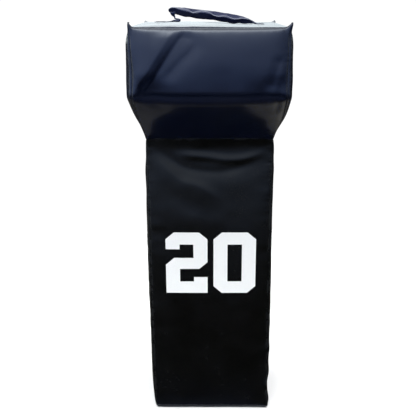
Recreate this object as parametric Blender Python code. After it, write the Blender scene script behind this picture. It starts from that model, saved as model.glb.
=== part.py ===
"""Stand-up tackling dummy: a foam column with an overhanging foam head in a sewn vinyl cover.

The dummy stands on the floor at z = 0 and faces -Y. The cover is ten panels that meet at
drawn-in seams. A zip with moulded teeth closes the back, and a padded handle lies on the top.
"""

import math

import bmesh
import bpy
import numpy as np

# Foam column and head
COLUMN_WIDTH = 0.396  # from seam to seam; the sides swell past it
COLUMN_DEPTH = 0.305
HEAD_WIDTH = 0.446
HEAD_REACH = 0.178  # how far the head stands out in front of the column
NECK_HEIGHT = 0.983
HEAD_SLOPE_RISE = 0.154  # neck to the lower front edge of the head
HEAD_FACE_HEIGHT = 0.195  # from that edge to the top seam

# Cover
VINYL = 0.001
SEAM_GAP = 0.0004
REST_GAP = 0.0003  # between pieces that touch
BASE_ROUND = 0.011  # the base panel turns up this far to its seam
COLUMN_FRONT_SWELL = 0.010
COLUMN_SIDE_SWELL = 0.009
HEAD_FRONT_SWELL = 0.020
HEAD_SIDE_SWELL = 0.016
BACK_SWELL = 0.005
TOP_SWELL = 0.007
SWELL_POWER = 4  # higher is flatter across the middle of a panel
FOAM_BACK_SPACE = 0.0062  # room behind the back panels for the zip and the washers

# Zip in the back of the column
ZIP_FOOT = 0.140  # floor to the lower end of the teeth
ZIP_HEAD_SPACE = 0.081  # upper end of the teeth to the neck
ZIP_REVEAL = 0.009  # centre of the chain to each panel's edge
ZIP_END_TAPER = 0.012
TAPE_WIDTH = 0.019
TAPE_THICKNESS = 0.0008
TAPE_SPARE = 0.018  # tape past the end of the teeth
TOOTH_PITCH = 0.0042
TOOTH_THICKNESS = 0.0026
TOOTH_REACH = 0.0017  # how far a tooth passes the middle of the chain
TOOTH_FLARE = 0.0002  # how much wider a tooth is at its tip than at the middle, each side
TOOTH_GAP = 0.0003
SPINE_WIDTH = 0.0028  # strip that carries a row of teeth
STOP_LENGTH = 0.004
STOP_THICKNESS = 0.0032

# Zip slider and its pull
SLIDER_LENGTH = 0.018
SLIDER_NOSE_FLARE = 0.0013  # how much further out each edge stands at the nose
SLIDER_PLATE = 0.0011
SLIDER_POST_WIDTH = 0.0016
SLIDER_POST_LENGTH = 0.0030
SLIDER_FLANGE_WIDTH = 0.0011
SLIDER_TAPE_SLOT = 0.0016
BAIL_WIDTH = 0.0020
BAIL_BAR = 0.0013
BAIL_WINDOW_LENGTH = 0.0040
BAIL_WINDOW_HEIGHT = 0.0024
PULL_THICKNESS = 0.0014
PULL_WIDTH = 0.0072
PULL_LENGTH = 0.0300
PULL_EYE_WIDTH = 0.0032
PULL_EYE_LENGTH = 0.0046
PULL_GAP = 0.0005  # under the pull's bar, in the slider's window
PULL_WAIST_SHARE = 0.8  # width at the eye, of the pull's full width

# Vent eyelets in the back
VENT_HOLE_RADIUS = 0.0040
VENT_BARREL_WALL = 0.0008
VENT_FLANGE_RADIUS = 0.0090
VENT_FLANGE_HEIGHT = 0.0014
VENT_LIP = 0.0010  # barrel that is rolled over behind the washer
WASHER_THICKNESS = 0.0008
COLUMN_VENT_HEIGHT = 0.350
HEAD_VENT_DROP = 0.132  # below the top seam

# Handle on the top
HANDLE_BACK_SET = 0.240  # front of the head to the handle
HANDLE_SPAN = 0.339  # over the sewn tabs
TAB_LENGTH_LEFT = 0.042
TAB_LENGTH_RIGHT = 0.034
TAB_WIDTH = 0.030
TAB_THICKNESS = 0.0026
LEG_RADIUS = 0.0032
GRIP_LEFT_SET = 0.05085  # left end of the handle to its grip
GRIP_RIGHT_SET = 0.04815
GRIP_RADIUS = 0.0140
GRIP_RISE = 0.0330  # hinge to the middle of the grip's raised left end
GRIP_FALL = 0.0200  # how much lower the right end lies
SLEEVE_WALL = 0.0012
GRIP_ALONG_SHARES = (0.0, 0.15, 0.40, 0.65, 0.85, 1.0)  # places along the grip
GRIP_FALL_SHARES = (0.08, 0.0, 0.30, 0.62, 0.85, 1.0)  # how far it has come down at those places
GRIP_ROUND_SHARE = 0.10  # of the grip's length, rounded in at its left end
GRIP_END_SHARE = 0.45  # of its radius, left at that end
GRIP_TAPER_SHARE = 0.45  # of its length, drawn out towards the right end
GRIP_THINNING_SHARE = 0.58  # of its radius, lost at the right end
TAB_NECK_SHARE = 1.5  # half width where a leg leaves its tab, of the leg's radius

# Places that the legs pass, outwards and upwards, as shares of a leg's radius
TAB_FOLD_SHARES = ((0.0, 0.0), (3.6, 0.4), (5.6, 1.8), (4.4, 3.4))  # from the left tab
GRIP_FOLD_SHARES = ((-2.2, -4.2), (-3.4, -2.4), (-2.6, -0.9))  # from the grip's left end
RIGHT_LEG_SHARES = ((0.0, 0.0), (-1.5, 0.3))  # from the right tab

# Faces along each panel
COLUMN_ROWS = 10
HEAD_ROWS = 4  # below the nose, and again above it
FRONT_COLUMNS = 8
COLUMN_SIDE_COLUMNS = 6
HEAD_SIDE_COLUMNS = 8
BACK_COLUMNS = 5
ROUND_STEPS = 3
ROUND_SIDES = 16
LEG_SIDES = 8
LEFT_LEG_RINGS = 18
RIGHT_LEG_RINGS = 6
GRIP_SIDES = 12
GRIP_RINGS = 15

FRONT = -COLUMN_DEPTH / 2
BACK = COLUMN_DEPTH / 2
HEAD_FRONT = FRONT - HEAD_REACH
COLUMN_HALF = COLUMN_WIDTH / 2
HEAD_HALF = HEAD_WIDTH / 2
NOSE_HEIGHT = NECK_HEIGHT + HEAD_SLOPE_RISE
TOP_SEAM_HEIGHT = NOSE_HEIGHT + HEAD_FACE_HEIGHT
ZIP_TOP = NECK_HEIGHT - ZIP_HEAD_SPACE
FOAM_INSET = VINYL + REST_GAP
TAPE_FACE = BACK - VINYL - REST_GAP  # outer face of the zip tape
CHAIN_MIDDLE = TAPE_FACE - TAPE_THICKNESS / 2
TOP_FACE = TOP_SEAM_HEIGHT + TOP_SWELL
HANDLE_Y = HEAD_FRONT + HANDLE_BACK_SET
GRIP_LENGTH = HANDLE_SPAN - GRIP_LEFT_SET - GRIP_RIGHT_SET
HINGE_HEIGHT = TOP_FACE + REST_GAP + LEG_RADIUS


# Materials

def paint(name, colour, roughness, metallic=0.0):
    material = bpy.data.materials.new(name)
    material.use_nodes = True
    shader = material.node_tree.nodes["Principled BSDF"]
    shader.inputs["Base Color"].default_value = (*colour, 1)
    shader.inputs["Roughness"].default_value = roughness
    shader.inputs["Metallic"].default_value = metallic
    material.diffuse_color = (*colour, 1)
    return material


# Solids from points

def halves(points, face):
    """A face of four corners, split along its longer diagonal, so that it bulges and never sags."""
    a, b, c, d = face
    if np.linalg.norm(points[a] - points[c]) >= np.linalg.norm(points[b] - points[d]):
        return [(a, b, c), (a, c, d)]
    return [(a, b, d), (b, c, d)]


def add_solid(name, points, faces, material, origin=(0, 0, 0)):
    """One closed mesh whose faces point out, with its origin at the given place."""
    shape = bmesh.new()
    start = np.array(origin, dtype=float)
    points = np.array(points, dtype=float)
    corners = [shape.verts.new(point - start) for point in points]
    for face in faces:
        for part in halves(points, face) if len(face) == 4 else [face]:
            shape.faces.new([corners[index] for index in part])
    bmesh.ops.recalc_face_normals(shape, faces=shape.faces)
    mesh = bpy.data.meshes.new(name)
    shape.to_mesh(mesh)
    shape.free()
    mesh.materials.append(material)
    mesh.shade_smooth()
    mesh.set_sharp_from_angle(angle=math.radians(35))
    piece = bpy.data.objects.new(name, mesh)
    piece.location = start
    bpy.context.scene.collection.objects.link(piece)
    return piece


def add_loft(name, rings, material, origin=(0, 0, 0), joined=False):
    """Rings of points in order, skinned. The end rings are capped, or joined to each other."""
    sides = len(rings[0])
    points = [point for ring in rings for point in ring]
    faces = []
    for ring in range(len(rings) if joined else len(rings) - 1):
        here = ring * sides
        there = (ring + 1) % len(rings) * sides
        for side in range(sides):
            after = (side + 1) % sides
            faces.append((here + side, here + after, there + after, there + side))
    if not joined:
        faces.append(tuple(range(sides)))
        faces.append(tuple(range(len(points) - sides, len(points))))
    return add_solid(name, points, faces, material, origin)


def add_slab(name, outline, low, high, material, origin=(0, 0, 0)):
    """An outline in X and Z, given thickness from one Y to another."""
    rings = [[(x, y, z) for x, z in outline] for y in (low, high)]
    return add_loft(name, rings, material, origin)


def add_sheet(name, outer, inner, material):
    """A panel of vinyl: two grids of points, outside and inside, closed along their edges."""
    rows, columns = outer.shape[:2]
    points = [*outer.reshape(-1, 3), *inner.reshape(-1, 3)]
    behind = rows * columns
    faces = []
    for row in range(rows - 1):
        for column in range(columns - 1):
            first = row * columns + column
            face = (first, first + 1, first + columns + 1, first + columns)
            faces.append(face)
            faces.append(tuple(behind + index for index in reversed(face)))
    border = list(range(columns))
    border += [row * columns + columns - 1 for row in range(1, rows)]
    border += [(rows - 1) * columns + column for column in range(columns - 2, -1, -1)]
    border += [row * columns for row in range(rows - 2, 0, -1)]
    for here, after in zip(border, border[1:] + border[:1]):
        faces.append((here, here + behind, after + behind, after))
    return add_solid(name, points, faces, material)


def box_outline(half_width, low, high):
    return [(-half_width, low), (half_width, low), (half_width, high), (-half_width, high)]


def circle(centre, across, up, radius, sides):
    """Points of a circle in the plane of two unit directions."""
    turns = [2 * math.pi * side / sides for side in range(sides)]
    return [centre + radius * (math.cos(turn) * across + math.sin(turn) * up) for turn in turns]


def change_by(piece, other, operation):
    """Cuts a piece by another solid, or joins it on, and sets the other aside as a tool."""
    change = piece.modifiers.new(other.name, "BOOLEAN")
    change.operation = operation
    change.solver = "EXACT"
    change.object = other
    other.hide_render = True
    other.display_type = "WIRE"


# The skin that the cover and the foam share

def spread(count):
    """Shares from 0 to 1 that lie closer together near the seams at both ends."""
    return [0.5 - 0.5 * math.cos(math.pi * step / count) for step in range(count + 1)]


def swell(share):
    """How far out a filled panel stands: 0 at its seams, and almost 1 across its middle."""
    return math.sqrt(max(0.0, 1 - abs(2 * share - 1) ** SWELL_POWER))


class Level:
    """One height of the dummy: its half width, its front, how full it is and how its front faces."""

    def __init__(self, height, half_width, front, fill, front_normal):
        self.height = height
        self.half_width = half_width
        self.front = front
        self.fill = fill
        self.front_normal = np.array(front_normal) / np.linalg.norm(front_normal)


def column_levels(shares):
    reach = NECK_HEIGHT - BASE_ROUND
    forward = (0.0, -1.0, 0.0)
    return [Level(BASE_ROUND + reach * s, COLUMN_HALF, FRONT, swell(s), forward) for s in shares]


def head_levels():
    """Up the slope from the neck to the nose, filling out gently, then straight up to the top seam."""
    slope = np.array((0.0, -HEAD_SLOPE_RISE, -HEAD_REACH)) / math.hypot(HEAD_SLOPE_RISE, HEAD_REACH)
    forward = np.array((0.0, -1.0, 0.0))
    levels = []
    for step in range(HEAD_ROWS + 1):
        share = step / HEAD_ROWS
        height = NECK_HEIGHT + HEAD_SLOPE_RISE * share
        half_width = COLUMN_HALF + (HEAD_HALF - COLUMN_HALF) * share
        normal = slope if step < HEAD_ROWS else slope + forward
        fill = share * share * (3 - 2 * share)
        levels.append(Level(height, half_width, FRONT - HEAD_REACH * share, fill, normal))
    for step in range(1, HEAD_ROWS + 1):
        share = math.sin(math.pi / 2 * step / HEAD_ROWS)
        height = NOSE_HEIGHT + HEAD_FACE_HEIGHT * share
        levels.append(Level(height, HEAD_HALF, HEAD_FRONT, swell((1 + share) / 2), forward))
    return levels


def front_row(level, shares, inset, amount):
    half = level.half_width - inset
    row = []
    for share in shares:
        base = np.array((half * (2 * share - 1), level.front + inset, level.height))
        row.append(base + level.front_normal * amount * swell(share) * level.fill)
    return row


def side_row(level, shares, inset, back_inset, amount, side):
    """A side is 1 for the right and -1 for the left. The row runs from the front to the back."""
    front, back = level.front + inset, BACK - back_inset
    row = []
    for share in shares:
        out = level.half_width - inset + amount * swell(share) * level.fill
        row.append(np.array((side * out, front + (back - front) * share, level.height)))
    return row


def back_row(level, shares, inset, amount, side, middle, share_up):
    """Half of the back, from its inner edge at the zip or the centre seam out to the corner."""
    row = []
    for share in shares:
        x = middle + (level.half_width - inset - middle) * share
        out = BACK - inset + amount * swell(share) * swell(share_up)
        row.append(np.array((side * x, out, level.height)))
    return row


def draw_back(grid):
    """Moves a panel's edges in by a seam's gap, along the panel."""

    def shift(edge, neighbour):
        along = neighbour - edge
        return edge + along / np.linalg.norm(along, axis=-1, keepdims=True) * SEAM_GAP / 2

    drawn = grid.copy()
    drawn[0] = shift(grid[0], grid[1])
    drawn[-1] = shift(grid[-1], grid[-2])
    drawn[:, 0] = shift(drawn[:, 0].copy(), drawn[:, 1])
    drawn[:, -1] = shift(drawn[:, -1].copy(), drawn[:, -2])
    return drawn


def add_panel(name, rows_at, material):
    """A panel from a function that gives its rows of points at an inset from the skin."""
    outer, inner = (draw_back(np.array(rows_at(inset))) for inset in (0.0, VINYL))
    return add_sheet(name, outer, inner, material)


# Cover panels

def add_column_panels(vinyl):
    levels = column_levels(spread(COLUMN_ROWS))

    def front_rows(inset):
        return [front_row(level, spread(FRONT_COLUMNS), inset, COLUMN_FRONT_SWELL) for level in levels]

    add_panel("column_front_panel", front_rows, vinyl)
    for name, side in (("column_left_panel", -1), ("column_right_panel", 1)):

        def side_rows(inset):
            shares = spread(COLUMN_SIDE_COLUMNS)
            return [side_row(level, shares, inset, inset, COLUMN_SIDE_SWELL, side) for level in levels]

        add_panel(name, side_rows, vinyl)


def add_head_panels(vinyl):
    levels = head_levels()

    def front_rows(inset):
        return [front_row(level, spread(FRONT_COLUMNS), inset, HEAD_FRONT_SWELL) for level in levels]

    add_panel("head_front_panel", front_rows, vinyl)
    for name, side in (("head_left_panel", -1), ("head_right_panel", 1)):

        def side_rows(inset):
            shares = spread(HEAD_SIDE_COLUMNS)
            return [side_row(level, shares, inset, inset, HEAD_SIDE_SWELL, side) for level in levels]

        add_panel(name, side_rows, vinyl)


def reveal_ends():
    """Where the panels' edges run straight beside the zip: from below its stops to above them."""
    low = ZIP_FOOT - stop_drop() - STOP_LENGTH
    return low, ZIP_TOP + TOOTH_PITCH + STOP_LENGTH


def zip_edge(height):
    """How far a back panel's inner edge stands from the middle at a height."""
    low, high = reveal_ends()
    outside = max(low - height, height - high, 0.0)
    return ZIP_REVEAL * max(0.0, 1 - outside / ZIP_END_TAPER)


def back_levels():
    """Every level of the back, with one more row at each end of the zip and of its taper."""
    reach = NECK_HEIGHT - BASE_ROUND
    low, high = reveal_ends()
    ends = [low - ZIP_END_TAPER, low, high, high + ZIP_END_TAPER]
    shares = [(height - BASE_ROUND) / reach for height in ends]
    clear = ZIP_END_TAPER / reach
    shares += [s for s in spread(COLUMN_ROWS) if min(abs(s - end) for end in shares) > clear]
    return column_levels(sorted(shares)) + head_levels()[1:]


def add_back_panels(vinyl, vents):
    levels = back_levels()
    total = TOP_SEAM_HEIGHT - BASE_ROUND
    panels = {}
    for name, side in (("back_left_panel", -1), ("back_right_panel", 1)):

        def rows(inset):
            shares = spread(BACK_COLUMNS)
            made = []
            for level in levels:
                up = (level.height - BASE_ROUND) / total
                edge = zip_edge(level.height)
                made.append(back_row(level, shares, inset, BACK_SWELL, side, edge, up))
            return made

        panels[side] = add_panel(name, rows, vinyl)
    for vent_name, x, height in vents:
        centre = np.array((x, BACK, height))
        radius = VENT_HOLE_RADIUS + VENT_BARREL_WALL + REST_GAP
        past = BACK_SWELL + VENT_FLANGE_RADIUS
        rings = [disc_ring(centre, radius, offset) for offset in (-past, past)]
        hole = add_loft(vent_name + "_hole", rings, vinyl)
        change_by(panels[1 if x > 0 else -1], hole, "DIFFERENCE")


def top_grid(inset, back_inset, height, amount):
    """The top's grid of points, in rows from the front to the back."""
    front, back = HEAD_FRONT + inset, BACK - back_inset
    half = HEAD_HALF - inset
    grid = []
    for v in spread(HEAD_SIDE_COLUMNS):
        y = front + (back - front) * v
        rise = amount * swell(v)
        grid.append([(half * (2 * u - 1), y, height + rise * swell(u)) for u in spread(FRONT_COLUMNS)])
    return np.array(grid)


def add_top_panel(vinyl):
    foot = TOP_SEAM_HEIGHT + SEAM_GAP
    outer = top_grid(0.0, 0.0, foot, TOP_SWELL)
    inner = top_grid(VINYL, VINYL, foot, TOP_SWELL - VINYL)
    add_sheet("top_panel", outer, inner, vinyl)


def rounded_foot_rings(inset, back_inset):
    """Rings of the rounded foot, from its seam down to the floor, at an inset from the skin."""
    radius = BASE_ROUND - inset
    rings = []
    for step in range(ROUND_STEPS + 1):
        turn = math.pi / 2 * step / ROUND_STEPS
        drawn = inset + radius * (1 - math.cos(turn))
        height = BASE_ROUND - radius * math.sin(turn)
        half = COLUMN_HALF - drawn
        front, back = FRONT + drawn, BACK - drawn - (back_inset - inset)
        corners = ((-half, front), (half, front), (half, back), (-half, back))
        rings.append([(x, y, height) for x, y in corners])
    return rings


def add_base_panel(vinyl):
    outer = rounded_foot_rings(0.0, 0.0)
    inner = rounded_foot_rings(VINYL, VINYL)
    for rings in (outer, inner):
        rings[0] = [(x, y, z - SEAM_GAP) for x, y, z in rings[0]]
    return add_loft("base_panel", inner[::-1] + outer, vinyl)


# Foam

def foam_ring(level, side_columns, front_swell, side_swell, back_columns):
    front = front_row(level, spread(FRONT_COLUMNS), FOAM_INSET, front_swell)
    shares = spread(side_columns)
    right, left = (
        side_row(level, shares, FOAM_INSET, FOAM_BACK_SPACE, side_swell, side) for side in (1, -1)
    )
    half = level.half_width - FOAM_INSET
    across = [half * (1 - 2 * share) for share in spread(back_columns)]
    back = [np.array((x, BACK - FOAM_BACK_SPACE, level.height)) for x in across]
    return front[:-1] + right[:-1] + back[:-1] + left[::-1][:-1]


def add_foam_column(foam):
    """A block with a rounded foot, as wide and deep as the column inside its cover."""
    levels = column_levels(spread(COLUMN_ROWS))
    levels[-1].height -= REST_GAP / 2
    rings = []
    for level in levels:
        rings.append(foam_ring(level, COLUMN_SIDE_COLUMNS, COLUMN_FRONT_SWELL, COLUMN_SIDE_SWELL, 1))
    foot = rounded_foot_rings(FOAM_INSET, FOAM_BACK_SPACE)[1:]
    for corners in foot:
        first, second, third, fourth = (np.array(corner) for corner in corners)
        ring = [first + (second - first) * share for share in spread(FRONT_COLUMNS)][:-1]
        ring += [second + (third - second) * share for share in spread(COLUMN_SIDE_COLUMNS)][:-1]
        ring += [third]
        ring += [fourth + (first - fourth) * share for share in spread(COLUMN_SIDE_COLUMNS)][:-1]
        rings.insert(0, ring)
    return add_loft("foam_column", rings, foam)


def add_foam_head(foam):
    """The head block on the column: its underside slopes out to the nose, and its top is domed."""
    levels = head_levels()
    levels[0].height += REST_GAP / 2
    rings = []
    for level in levels:
        ring = foam_ring(level, HEAD_SIDE_COLUMNS, HEAD_FRONT_SWELL, HEAD_SIDE_SWELL, FRONT_COLUMNS)
        rings.append(ring)
    sides = len(rings[0])
    points = [point for ring in rings for point in ring]
    faces = [tuple(range(sides))]
    for ring in range(len(rings) - 1):
        for side in range(sides):
            here, after = ring * sides + side, ring * sides + (side + 1) % sides
            faces.append((here, after, after + sides, here + sides))
    dome = top_grid(FOAM_INSET, FOAM_BACK_SPACE, TOP_SEAM_HEIGHT, TOP_SWELL - FOAM_INSET)
    rows, columns = dome.shape[:2]
    rim = len(points) - sides
    index = {}
    for row in range(rows):
        for column in range(columns):
            if row == 0:
                index[row, column] = rim + column
            elif column == columns - 1:
                index[row, column] = rim + columns - 1 + row
            elif row == rows - 1:
                index[row, column] = rim + 2 * (columns - 1) + rows - 1 - column
            elif column == 0:
                index[row, column] = rim + sides - row
            else:
                index[row, column] = len(points)
                points.append(dome[row, column])
    for row in range(rows - 1):
        for column in range(columns - 1):
            corners = ((row, column), (row, column + 1), (row + 1, column + 1), (row + 1, column))
            faces.append(tuple(index[corner] for corner in corners))
    return add_solid("foam_head", points, faces, foam)


# Zip

def tooth_outline(side, spine, half_middle):
    """A comb of teeth up one side of the chain. A tooth is a little wider at its tip."""
    count = int((ZIP_TOP - ZIP_FOOT) / TOOTH_PITCH)
    start = 0.0 if side > 0 else TOOTH_PITCH / 2
    outline = [(side * (spine + SPINE_WIDTH), ZIP_FOOT), (side * spine, ZIP_FOOT)]
    for tooth in range(count):
        middle = ZIP_FOOT + start + TOOTH_PITCH * (tooth + 1 / 2)
        root = half_middle - TOOTH_FLARE
        tip = half_middle + TOOTH_FLARE
        outline += [
            (side * spine, middle - root),
            (-side * TOOTH_REACH, middle - tip),
            (-side * TOOTH_REACH, middle + tip),
            (side * spine, middle + root),
        ]
    top = ZIP_FOOT + TOOTH_PITCH * (count + 1)
    return outline + [(side * spine, top), (side * (spine + SPINE_WIDTH), top)]


def add_zip_tapes(tape_material, tooth_material):
    """Each half of the zip is a woven tape with its row of moulded teeth."""
    spine = TOOTH_REACH + TOOTH_GAP
    half_middle = (TOOTH_PITCH / 2 - TOOTH_GAP) / 2
    half_tooth = TOOTH_THICKNESS / 2
    half_tape = TAPE_THICKNESS / 2
    for name, side in (("zip_tape_left", -1), ("zip_tape_right", 1)):
        outline = tooth_outline(side, spine, half_middle)
        low, high = CHAIN_MIDDLE - half_tooth, CHAIN_MIDDLE + half_tooth
        tape = add_slab(name, outline, low, high, tooth_material)
        edges = (side * (spine + SPINE_WIDTH / 4), side * TAPE_WIDTH)
        foot, top = ZIP_FOOT - TAPE_SPARE, ZIP_TOP + TAPE_SPARE
        strip = [(edges[0], foot), (edges[1], foot), (edges[1], top), (edges[0], top)]
        low, high = CHAIN_MIDDLE - half_tape, CHAIN_MIDDLE + half_tape
        web = add_slab(name + "_web", strip, low, high, tape_material)
        change_by(tape, web, "UNION")


def chain_half():
    """From the middle of the chain to the outer side of a row of teeth."""
    return TOOTH_REACH + TOOTH_GAP + SPINE_WIDTH


def cut_tape_slot(stop, side, foot, metal):
    """A slot in one end of a stop, which the edge of a tape lies in."""
    half = TAPE_THICKNESS / 2 + REST_GAP
    inner = chain_half() - SPINE_WIDTH * 3 / 4 - REST_GAP
    past = STOP_LENGTH
    near, far = side * inner, side * (chain_half() + past)
    low, high = foot - past, foot + STOP_LENGTH + past
    outline = [(near, low), (far, low), (far, high), (near, high)]
    slot = add_slab(f"{stop.name}_slot_{side}", outline, CHAIN_MIDDLE - half, CHAIN_MIDDLE + half, metal)
    change_by(stop, slot, "DIFFERENCE")


def add_zip_stops(metal):
    """A clip on the edge of each tape below the teeth, and one across both tapes above them."""
    low, high = CHAIN_MIDDLE - STOP_THICKNESS / 2, CHAIN_MIDDLE + STOP_THICKNESS / 2
    foot = ZIP_FOOT - stop_drop() - STOP_LENGTH
    for name, side in (("zip_end_stop_left", -1), ("zip_end_stop_right", 1)):
        near, far = side * REST_GAP, side * chain_half()
        outline = [(near, foot), (far, foot), (far, foot + STOP_LENGTH), (near, foot + STOP_LENGTH)]
        stop = add_slab(name, outline, low, high, metal)
        cut_tape_slot(stop, side, foot, metal)
    foot = ZIP_TOP + TOOTH_PITCH + REST_GAP
    outline = box_outline(chain_half(), foot, foot + STOP_LENGTH)
    stop = add_slab("zip_start_stop", outline, low, high, metal)
    for side in (-1, 1):
        cut_tape_slot(stop, side, foot, metal)


def stop_drop():
    """From the lowest teeth down to the end stops: the part of the slider below the teeth."""
    return SLIDER_POST_LENGTH + 2 * REST_GAP


def slider_half_width(share):
    """The slider clears the chain at its tail, at the top, and widens to its nose."""
    return chain_half() + REST_GAP + SLIDER_FLANGE_WIDTH + SLIDER_NOSE_FLARE * share


def add_slider(metal):
    """Two plates joined by a post at the nose, with turned-in edges and a bail for the pull."""
    foot = ZIP_FOOT - stop_drop() + REST_GAP
    top = foot + SLIDER_LENGTH
    chamfer = SLIDER_FLANGE_WIDTH
    nose, tail = slider_half_width(1), slider_half_width(0)
    outline = [
        (-nose + chamfer, foot),
        (nose - chamfer, foot),
        (nose, foot + chamfer),
        (tail, top - chamfer),
        (tail - chamfer, top),
        (-tail + chamfer, top),
        (-tail, top - chamfer),
        (-nose, foot + chamfer),
    ]
    channel = TOOTH_THICKNESS / 2 + REST_GAP
    outside = channel + SLIDER_PLATE
    slot_half = SLIDER_TAPE_SLOT / 2
    origin = (0, CHAIN_MIDDLE, foot)
    low, high = CHAIN_MIDDLE + channel, CHAIN_MIDDLE + outside
    outer = add_slab("zip_slider", outline, low, high, metal, origin)
    low, high = CHAIN_MIDDLE - outside, CHAIN_MIDDLE - channel
    inner = add_slab("slider_inner_plate", outline, low, high, metal)
    bite = SLIDER_PLATE / 2
    low, high = CHAIN_MIDDLE - channel - bite, CHAIN_MIDDLE + channel + bite
    post_top = foot + SLIDER_POST_LENGTH - REST_GAP
    post_outline = box_outline(SLIDER_POST_WIDTH / 2, foot + bite / 2, post_top)
    post = add_slab("slider_post", post_outline, low, high, metal)
    joined = [inner, post]
    low, high = foot + 2 * chamfer, top - 2 * chamfer
    for side in (-1, 1):
        edge = [
            (side * (slider_half_width(1) - bite / 2), low),
            (side * (slider_half_width(0) - bite / 2), high),
            (side * (slider_half_width(0) - SLIDER_FLANGE_WIDTH), high),
            (side * (slider_half_width(1) - SLIDER_FLANGE_WIDTH), low),
        ]
        for face in (-1, 1):
            ends = (CHAIN_MIDDLE + face * slot_half, CHAIN_MIDDLE + face * (channel + bite))
            flange = add_slab(f"slider_flange_{side}_{face}", edge, min(ends), max(ends), metal)
            joined.append(flange)
    joined.append(add_bail(metal))
    for other in joined:
        change_by(outer, other, "UNION")
    return outer


def slider_face():
    return CHAIN_MIDDLE + TOOTH_THICKNESS / 2 + REST_GAP + SLIDER_PLATE


def window_foot():
    """Height of the lower end of the slider's window, which the pull hangs in."""
    middle = ZIP_FOOT - stop_drop() + REST_GAP + SLIDER_LENGTH / 2
    return middle - BAIL_WINDOW_LENGTH / 2


def add_bail(metal):
    """A bridge along the slider with a window across it. The pull's bar lies in the window."""
    face = slider_face()
    sink = SLIDER_PLATE / 2
    lift = BAIL_BAR / 2
    low, high = window_foot() - BAIL_BAR, window_foot() + BAIL_WINDOW_LENGTH + BAIL_BAR
    out = face + lift + BAIL_WINDOW_HEIGHT + BAIL_BAR
    round_off = BAIL_BAR / 2
    side_view = [
        (face - sink, low),
        (out - round_off, low),
        (out, low + round_off),
        (out, high - round_off),
        (out - round_off, high),
        (face - sink, high),
        (face - sink, high - BAIL_BAR),
        (face + lift + BAIL_WINDOW_HEIGHT, high - BAIL_BAR),
        (face + lift + BAIL_WINDOW_HEIGHT, low + BAIL_BAR),
        (face - sink, low + BAIL_BAR),
    ]
    half = BAIL_WIDTH / 2
    rings = [[(x, y, z) for y, z in side_view] for x in (-half, half)]
    return add_loft("slider_bail", rings, metal)


def pull_axis():
    """The line that the pull turns about: the middle of its bar, low in the slider's window."""
    y = slider_face() + BAIL_BAR / 2 + BAIL_WINDOW_HEIGHT / 2
    return y, window_foot() + PULL_GAP + PULL_THICKNESS / 2


def add_pull(metal):
    """A flat pull that hangs by the bar at the top of its eye."""
    y, axis = pull_axis()
    top = axis + PULL_THICKNESS / 2
    foot = top - PULL_LENGTH
    half = PULL_WIDTH / 2
    waist = half * PULL_WAIST_SHARE
    round_off = half / 2
    outline = [
        (-waist + round_off / 2, top),
        (waist - round_off / 2, top),
        (waist, top - round_off / 2),
        (half, foot + half),
        (half - round_off / 2, foot + round_off / 2),
        (half - round_off, foot),
        (-half + round_off, foot),
        (-half + round_off / 2, foot + round_off / 2),
        (-half, foot + half),
        (-waist, top - round_off / 2),
    ]
    thick = PULL_THICKNESS / 2
    pull = add_slab("zip_pull", outline, y - thick, y + thick, metal, (0, y, axis))
    eye_top = top - PULL_THICKNESS
    eye_outline = box_outline(PULL_EYE_WIDTH / 2, eye_top - PULL_EYE_LENGTH, eye_top)
    eye = add_slab("pull_eye_cut", eye_outline, y - PULL_THICKNESS, y + PULL_THICKNESS, metal)
    change_by(pull, eye, "DIFFERENCE")
    return pull


# Vents

def vent_places():
    column_x = (ZIP_REVEAL + COLUMN_HALF) / 2
    head_x = HEAD_HALF / 2
    return [
        ("vent_low_left", -column_x, COLUMN_VENT_HEIGHT),
        ("vent_low_right", column_x, COLUMN_VENT_HEIGHT),
        ("vent_high_left", -head_x, TOP_SEAM_HEIGHT - HEAD_VENT_DROP),
        ("vent_high_right", head_x, TOP_SEAM_HEIGHT - HEAD_VENT_DROP),
    ]


def disc_ring(centre, radius, offset):
    across, up, out = np.array((1.0, 0, 0)), np.array((0, 0, 1.0)), np.array((0, 1.0, 0))
    return circle(centre + offset * out, across, up, radius, ROUND_SIDES)


def vent_face(height):
    """Where the outside of a back panel lies at the middle of its width."""
    share = (height - BASE_ROUND) / (TOP_SEAM_HEIGHT - BASE_ROUND)
    return BACK + BACK_SWELL * swell(share)


def add_vents(brass, places):
    """Each vent is an eyelet through the vinyl and a washer that it is rolled over behind."""
    barrel = VENT_HOLE_RADIUS + VENT_BARREL_WALL
    for name, x, height in places:
        centre = np.array((x, vent_face(height), height))
        behind = -VINYL - 2 * REST_GAP - WASHER_THICKNESS
        rolled = behind - REST_GAP
        middle = (barrel + VENT_FLANGE_RADIUS) / 2
        outline = [
            (VENT_HOLE_RADIUS, rolled - VENT_LIP),
            (barrel + VENT_LIP, rolled - VENT_LIP),
            (barrel + VENT_LIP, rolled),
            (barrel, rolled),
            (barrel, REST_GAP),
            (VENT_FLANGE_RADIUS, REST_GAP),
            (middle, VENT_FLANGE_HEIGHT),
            (VENT_HOLE_RADIUS, VENT_FLANGE_HEIGHT / 2),
        ]
        rings = [disc_ring(centre, radius, offset) for radius, offset in outline]
        add_loft(name + "_eyelet", rings, brass, joined=True)
        near = -VINYL - REST_GAP
        far = near - WASHER_THICKNESS
        hole = barrel + REST_GAP
        edge = [(hole, near), (hole, far), (VENT_FLANGE_RADIUS, far), (VENT_FLANGE_RADIUS, near)]
        rings = [disc_ring(centre, radius, offset) for radius, offset in edge]
        add_loft(name + "_washer", rings, brass, joined=True)


# Handle

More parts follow.
